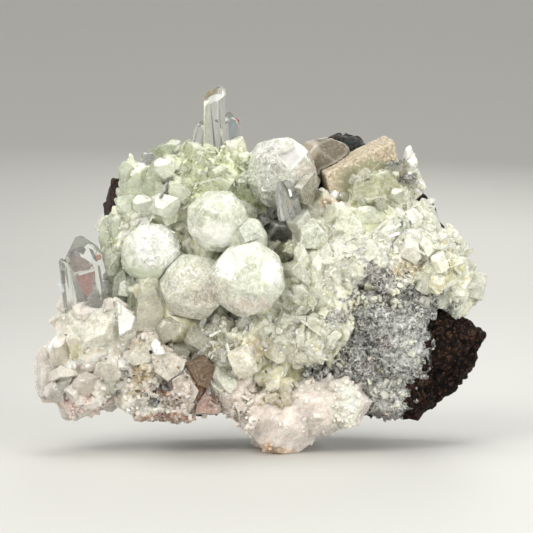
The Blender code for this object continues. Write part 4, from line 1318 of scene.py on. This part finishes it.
def plates(rows, thick=1.6, bevel=0.12, inside=False):
    # thin crystal faces: outline in picture points, how far out (mm), tone
    parts = []
    for outline, out, plateTone in rows:
        centre, normal = planeThrough([nearSpot(u, v) for u, v in outline])
        if inside:
            centre = nearSpot(*np.mean(outline, axis=0))
            normal = (normal - ahead * 2).normalized()
        centre += normal * out * mm
        bm = bmesh.new()
        corners = []
        for u, v in outline:
            line = lineThrough(u, v)
            corners.append(bm.verts.new(eye + line * ((centre - eye).dot(normal) / line.dot(normal))))
        made = bmesh.ops.extrude_face_region(bm, geom=[bm.faces.new(corners)])["geom"]
        moved = [part for part in made if isinstance(part, bmesh.types.BMVert)]
        bmesh.ops.translate(bm, verts=moved, vec=normal * (-thick * mm))
        markEdges(bm, bevel * mm)
        shape = shapeMesh(bm)
        body = tone(*plateTone)[None, :]
        # pale is a painted highlight for the bevelled edges of light plates
        pale = body + (tone(252, 252, 246) - body) * (0.5 if sum(plateTone) > 300 else 0)
        parts += placed([shape], np.eye(4)[None, :, :], body, body, pale, np.array([0.18]))
    return parts


moundCrystals = [
    (153, 185, 4.2, 3.8, 9.0, 25, 8, 10, 0.8, "block", (212, 222, 182)),
    (138, 188, 3.8, 3.4, 9.0, 15, 6, -25, 0.6, "block", (222, 230, 196)),
    (129, 176, 3.2, 3.0, 6.0, -6, 10, 30, 0.4, "block", (216, 226, 192)),
    (176, 194, 4.2, 3.6, 4.6, 30, 20, 20, 0.8, "lump", (236, 242, 214)),
    (162, 170, 4.2, 4.0, 4.2, 15, 25, 35, 1.4, "lump", (238, 242, 216)),
    (143, 206, 4.4, 4.0, 4.2, 10, 40, 20, 1.4, "lump", (242, 245, 226)),
    (164, 208, 5.2, 4.6, 5.2, 20, 40, 60, 1.6, "lump", (244, 247, 230)),
    (126, 207, 4.0, 3.6, 4.4, -4, 25, 50, 1.0, "lump", (228, 236, 208)),
    (117, 226, 3.2, 3.0, 6.0, -8, 10, 20, 0.4, "block", (212, 222, 190)),
    (108, 244, 2.6, 2.4, 5.6, -12, 8, 35, 0.2, "block", (202, 212, 178)),
    (166, 149, 2.4, 1.4, 6.6, 66, 10, 20, 1.6, "block", (186, 196, 158)),
    (147, 158, 2.6, 2.2, 2.8, 20, 20, 10, 1.2, "lump", (150, 152, 148)),
    (120, 283, 3.0, 2.4, 8.0, 6, 5, 15, 0.2, "block", (160, 170, 134)),
    (133, 300, 2.0, 1.8, 9.0, 4, 5, 30, 0.3, "block", (150, 160, 122)),
    (150, 306, 5.4, 3.0, 10.0, 8, 10, 12, 0.5, "block", (224, 221, 196)),
    (168, 330, 4.6, 3.0, 6.0, 40, 20, 30, 0.5, "lump", (202, 199, 176)),
    (196, 340, 4.4, 4.0, 4.4, 10, 30, 40, 1.0, "lump", (182, 180, 154)),
    (180, 352, 3.4, 3.0, 3.4, 30, 30, 10, 0.8, "lump", (196, 192, 168)),
    (272, 211, 3.6, 3.2, 3.4, 10, 30, 10, 2.0, "lump", (112, 112, 96)),
    (281, 214, 3.4, 3.2, 3.2, 30, 30, 50, 2.2, "lump", (126, 126, 112)),
    (262, 220, 2.6, 2.4, 2.6, 30, 30, 20, 1.0, "lump", (96, 98, 90)),
    (346, 199, 3.4, 2.0, 2.2, 40, 30, 20, 0.6, "lump", (190, 190, 160)),
    (362, 203, 3.6, 2.0, 2.0, 80, 30, 20, 0.6, "lump", (204, 206, 176)),
    (380, 204, 3.2, 2.0, 2.2, 70, 30, 50, 0.6, "lump", (196, 198, 168)),
    (396, 196, 3.0, 2.2, 3.0, 20, 30, 50, 0.8, "lump", (206, 208, 184)),
    (392, 170, 3.2, 2.4, 3.6, 30, 20, 10, 0.6, "lump", (186, 187, 160)),
]
slopeCrystals = [
    (344, 221, 6.6, 2.6, 6.2, 66, 20, 10, 0.2, "lump", (206, 210, 178)),
    (367, 217, 6.0, 2.6, 5.6, 78, 20, 50, 0.3, "lump", (212, 216, 184)),
    (385, 232, 0.7, 0.5, 4.4, 58, 20, 20, 1.6, "needle", (250, 251, 244)),
    (389, 237, 0.6, 0.5, 4.6, 68, 20, 60, 1.6, "needle", (248, 250, 240)),
    (394, 229, 0.6, 0.4, 3.4, 50, 20, 40, 1.6, "needle", (250, 251, 244)),
    (380, 226, 0.5, 0.4, 3.2, 40, 20, 10, 1.4, "needle", (244, 247, 234)),
    (313, 233, 5.6, 3.6, 5.6, 6, 16, 14, 0.6, "block", (172, 175, 146)),
    (303, 262, 3.0, 2.2, 8.0, -4, 14, 20, 0.4, "block", (200, 202, 174)),
    (318, 272, 2.6, 2.0, 7.0, 10, 14, 50, 0.4, "block", (204, 205, 178)),
    (412, 250, 4.4, 2.4, 4.0, 40, 20, 30, 0.8, "block", (214, 210, 192)),
    (425, 244, 3.0, 2.0, 4.4, -30, 14, 30, 0.6, "block", (232, 230, 206)),
    (441, 262, 3.0, 2.4, 3.6, -20, 20, 50, 0.6, "chip", (238, 236, 206)),
    (436, 284, 3.2, 2.4, 3.4, 10, 20, 20, 0.6, "chip", (240, 238, 210)),
    (228, 349, 0.5, 0.4, 2.4, -18, 20, 20, 1.6, "needle", (250, 250, 244)),
    (226, 377, 0.5, 0.4, 2.2, 96, 20, 20, 1.4, "needle", (252, 252, 246)),
    (215, 333, 0.5, 0.4, 2.6, 60, 20, 20, 1.4, "needle", (236, 238, 224)),
    (243, 362, 5.6, 3.4, 4.2, 70, 25, 20, 1.0, "chip", (222, 212, 182)),
    (409, 154, 1.6, 1.4, 3.4, 14, 8, 20, 0.6, "block", (226, 226, 222)),
    (411, 168, 2.0, 1.6, 4.4, 20, 8, 50, 0.6, "block", (206, 206, 196)),
]
crustPlates = [
    (((137, 226), (146, 216), (150, 222), (148, 226)), 0.9, (250, 251, 246)),
    (((239, 228), (249, 219), (261, 237), (246, 242)), 1.2, (206, 210, 192)),
    (((301, 189), (315, 172), (321, 180), (312, 206), (304, 204)), 1.4, (166, 162, 134)),
    (((309, 361), (329, 348), (334, 357), (320, 362)), 1.2, (208, 206, 186)),
    (((189, 352), (203, 350), (206, 362), (193, 366)), 0.8, (160, 150, 125)),
    (((168, 177), (171, 177), (162, 197), (159, 197)), 2.6, (26, 26, 24)),
    (((390, 162), (406, 158), (406, 161), (391, 164)), 2.4, (20, 18, 16)),
    (((400, 176), (417, 172), (418, 178), (408, 179)), 2.4, (54, 40, 28)),
]
addPiece("moundCrystals", joined(stood(moundCrystals)), materials["clearBlockLoose"],
         smooth=False)
addPiece("slopeCrystals", joined(stood(slopeCrystals)), materials["prehniteFine"],
         smooth=False)
addPiece("crustPlates", joined(plates(crustPlates)), materials["prehniteLoose"],
         smooth=False)
pinkCrystals = [
    (45, 371, 2.8, 2.4, 10.0, -2, 8, 25, 0.8, "block", (255, 246, 236)),
    (63, 386, 2.2, 1.6, 5.6, 48, 14, 20, 1.6, "block", (206, 202, 190)),
    (109, 374, 4.0, 2.6, 4.0, 40, 30, 20, 1.0, "lump", (238, 230, 212)),
    (84, 385, 5.0, 3.0, 5.4, 30, 30, 50, 0.8, "lump", (240, 226, 214)),
    (60, 354, 4.4, 3.0, 6.4, 10, 14, 60, 0.8, "lump", (236, 228, 212)),
]
pinkPlates = [
    (((116, 299), (135, 316), (131, 329), (119, 336)), 2.2, (228, 228, 221)),
]
addPiece("pinkCrystals", joined(stood(pinkCrystals) + plates(pinkPlates)),
         materials["clearBlockLoose"], smooth=False)
speckledPlates = [
    (((125, 360), (137, 345), (150, 340), (158, 352), (150, 362), (133, 366)), 1.4,
     (200, 193, 174)),
    (((152, 355), (170, 352), (187, 360), (183, 371), (168, 381), (155, 372)), 1.6,
     (204, 193, 176)),
    (((151, 344), (156, 338), (160, 343), (167, 354), (155, 355)), 2.6, (248, 244, 238)),
    (((172, 380), (186, 373), (199, 391), (193, 404), (176, 401)), 1.4, (206, 192, 178)),
]
brownPlates = [
    (((187, 365), (205, 356), (215, 366), (209, 389), (198, 386)), 1.4, (104, 80, 56)),
    (((197, 404), (206, 391), (222, 408), (219, 414), (196, 413)), 1.2, (146, 108, 88)),
]
addPiece("brownPlates", joined(plates(brownPlates)), materials["inclusionAndReflection"],
         smooth=False)
addPiece("speckledPlates", joined(plates(speckledPlates)), materials["speckledLoose"],
         smooth=False)


def dots(rows):
    # small dark or rusty grains: u, v, size in mm, tone
    return stood([(u, v, size, size * 0.8, size * 0.9, 20 * index, 30, 40 * index, 1.25, "grain",
                   dotTone) for index, (u, v, size, dotTone) in enumerate(rows)])


dark = (46, 34, 26)
rust = (140, 96, 52)
addPiece("pinkDots", joined(dots([
    (105, 358, 0.6, dark), (102, 365, 0.5, dark), (96, 369, 0.5, dark), (122, 369, 0.8, dark),
    (125, 373, 0.7, dark), (120, 375, 0.6, dark), (41, 383, 0.4, (150, 60, 50)),
    (54, 396, 0.4, dark), (112, 392, 0.5, dark), (80, 349, 0.4, dark), (84, 353, 0.4, dark),
    (88, 348, 0.35, dark), (66, 335, 0.4, dark), (91, 344, 0.3, rust),
])), materials["pinkCrystalFine"], smooth=False)
addPiece("speckledDots", joined(dots([
    (152, 372, 0.6, rust), (158, 361, 0.4, rust), (138, 343, 0.7, (190, 160, 100)),
    (140, 340, 0.5, rust), (126, 372, 0.8, dark), (122, 380, 0.6, dark), (118, 393, 0.7, dark),
    (165, 389, 1.4, dark), (161, 393, 1.0, rust), (168, 394, 0.9, (176, 112, 50)),
    (155, 403, 1.6, (20, 16, 12)), (157, 400, 1.0, (24, 20, 14)), (143, 391, 0.8, rust),
    (146, 395, 0.7, dark), (137, 388, 0.8, (176, 168, 110)), (132, 393, 0.7, (168, 160, 104)),
    (181, 372, 0.5, dark), (186, 377, 0.4, dark), (196, 402, 0.6, dark), (201, 393, 0.5, dark),
    (206, 388, 0.5, dark), (212, 391, 0.5, dark), (208, 367, 0.4, dark), (195, 408, 0.5, dark),
    (150, 416, 0.6, (176, 130, 60)), (154, 415, 0.5, rust), (172, 406, 0.5, rust),
])), materials["speckledFine"], smooth=False)
addPiece("footDots", joined(dots([
    (232, 404, 0.6, dark), (235, 407, 0.4, dark), (241, 412, 0.6, dark), (246, 412, 0.4, dark),
    (249, 429, 0.4, (160, 120, 70)), (254, 421, 0.5, dark), (259, 420, 0.4, rust),
    (244, 418, 0.4, dark), (237, 421, 0.4, rust), (251, 425, 0.4, rust), (256, 428, 0.35, rust),
    (266, 446, 0.9, (208, 150, 84)), (270, 449, 0.7, (214, 160, 96)), (264, 451, 0.6, rust),
])), materials["silkyFine"], smooth=False)
addPiece("crustDots", joined(dots([
    (246, 327, 0.8, (70, 64, 42)), (238, 325, 0.6, (84, 78, 52)), (252, 345, 0.6, (190, 150, 90)),
    (258, 343, 0.5, rust), (262, 349, 0.5, (200, 160, 100)), (255, 352, 0.4, rust),
    (266, 372, 0.5, dark), (412, 272, 0.8, (196, 168, 84)), (400, 262, 0.9, (188, 164, 88)),
    (408, 266, 0.8, (176, 148, 70)), (416, 268, 0.7, (150, 116, 50)), (404, 270, 0.7, rust),
    (432, 279, 0.6, (206, 180, 96)), (325, 203, 0.8, (196, 150, 92)), (329, 201, 0.7, rust),
    (445, 243, 0.8, (200, 180, 110)), (450, 250, 0.7, (214, 204, 120)),
    (462, 268, 0.9, (222, 212, 120)), (467, 278, 0.7, (226, 218, 150)),
])), materials["prehniteFine"], smooth=False)
addPiece("druseDots", joined(dots([
    (386, 343, 1.4, (92, 44, 34)), (389, 346, 1.0, (76, 36, 30)), (383, 340, 0.9, (104, 58, 46)),
    (384, 290, 1.1, (96, 56, 46)), (386, 297, 0.9, (84, 48, 42)), (380, 284, 0.9, (70, 44, 38)),
    (355, 328, 1.1, (96, 54, 44)), (361, 326, 0.9, (84, 46, 38)), (436, 305, 0.8, (100, 66, 56)),
    (370, 360, 1.3, (112, 84, 66)), (366, 366, 1.1, (96, 70, 54)), (380, 371, 0.8, (226, 214, 40)),
    (368, 305, 0.8, (214, 200, 60)), (392, 411, 1.2, (120, 84, 66)), (386, 413, 0.9, rust),
    (416, 400, 1.0, (120, 76, 56)),
    (310, 369, 1.9, (96, 94, 88)), (314, 373, 2.0, (150, 148, 140)), (318, 368, 1.9, (60, 57, 52)),
    (321, 373, 1.8, (180, 178, 170)), (307, 374, 1.5, (70, 66, 60)), (325, 370, 1.6, (90, 87, 80)),
    (312, 377, 1.6, (204, 202, 192)), (318, 378, 1.6, (110, 106, 98)),
])), materials["druseFine"], smooth=False)
print("placed crystals ready")


# Clear quartz: the solids themselves, with softened edges

def finishQuartz(name, pieceName):
    bm = bmesh.new()
    bm.from_mesh(nodes[name].data)
    bmesh.ops.remove_doubles(bm, verts=bm.verts, dist=1e-6)
    bmesh.ops.dissolve_limit(bm, angle_limit=math.radians(1), verts=bm.verts, edges=bm.edges)
    bmesh.ops.bevel(bm, geom=bm.edges[:], offset=0.08 * mm, segments=2, profile=0.5,
                    affect="EDGES", clamp_overlap=True, material=-1)
    mesh = bpy.data.meshes.new(pieceName)
    bm.to_mesh(mesh)
    bm.free()
    addPiece(pieceName, mesh, materials["quartz"], (name,), smooth=False)


finishQuartz("quartz_left_pair", "quartzLeftPair")
finishQuartz("quartz_top_cluster", "quartzTopCluster")
finishQuartz("quartz_centre", "quartzCentre")
finishQuartz("quartz_upper_left", "quartzUpperLeft")
# painted reflections in the clear pair, set as sheets inside it: dark streaks, reddish-brown matrix
# and pale highlights
leftPairReflections = [
    (((68, 263), (75, 257), (84, 259), (92, 265), (90, 269), (75, 272)), -0.9, (128, 100, 82)),
    (((75, 272), (93, 267), (93, 269), (75, 274)), -0.7, (238, 230, 222)),
    (((76, 276), (93, 271), (93, 290), (88, 297), (82, 290)), -0.9, (170, 84, 66)),
    (((74, 250), (82, 246), (86, 250), (83, 256)), -0.8, (28, 24, 22)),
    (((89, 248), (93, 250), (97, 262), (93, 260)), -0.5, (40, 36, 34)),
    (((94, 255), (101, 254), (102, 259), (96, 261)), -0.5, (222, 150, 118)),
    (((96, 266), (99, 265), (104, 288), (101, 290)), -0.4, (146, 148, 154)),
    (((61, 270), (65, 270), (66, 283), (63, 283)), -0.5, (30, 28, 26)),
    (((58, 284), (62, 281), (65, 291), (63, 293)), -0.4, (236, 240, 246)),
]
topInside = [
    (((204, 97), (209, 91), (217, 87), (222, 91), (221, 96), (206, 99)), -0.6, (150, 138, 104)),
    (((236, 118), (239, 120), (239, 125), (237, 123)), -0.3, (196, 84, 84)),
    (((216, 119), (218, 121), (217, 123), (215, 121)), -0.3, (60, 60, 58)),
    (((219, 128), (223, 130), (222, 138), (220, 136)), -0.4, (240, 240, 232)),
]
# the cream sheet on the left face is painted light, where the lamps fall; the bluish-grey sheet tints
# the crystal beside it
topLitFaceAndVeil = [
    (((204, 101), (210, 100), (210, 146), (204, 146)), -0.5, (226, 226, 208)),
    (((228, 118), (236, 120), (237, 138), (229, 141)), -0.9, (140, 150, 162)),
]
centreInside = [
    (((277, 184), (279, 180), (280, 183), (278, 195)), 1.6, (92, 88, 76)),
    (((281, 181), (283, 182), (293, 198), (291, 199)), 1.6, (92, 88, 76)),
    # painted highlight: a near-white sheet inside the crystal
    (((288, 189), (291, 190), (292, 196), (290, 197)), 2.0, (250, 250, 244)),
    (((284, 198), (290, 201), (291, 212), (286, 209)), 1.2, (180, 165, 144)),
]
addPiece("centreCrystal", joined(stood([
    (283, 199, 3.6, 3.0, 8.6, -12, 6, 20, 1.4, "point", (220, 220, 206)),
])), materials["quartz"], smooth=False)
# sheets inside the quartz: painted reflections and highlights, with some tones of their own
for pieceName, rows, material, slot in (
        ("leftPairReflections", leftPairReflections, "inclusionAndReflection", "quartz_left_pair"),
        ("topInside", topInside, "inclusionAndReflection", "quartz_top_cluster"),
        ("topLitFaceAndVeil", topLitFaceAndVeil, "inclusionAndReflection", "quartz_top_cluster"),
        ("centreInside", centreInside, "inclusionAndReflection", "quartz_centre")):
    addPiece(pieceName, joined(plates(rows, 0.1, 0, True)), materials[material],
             smooth=False)
print("quartz ready")
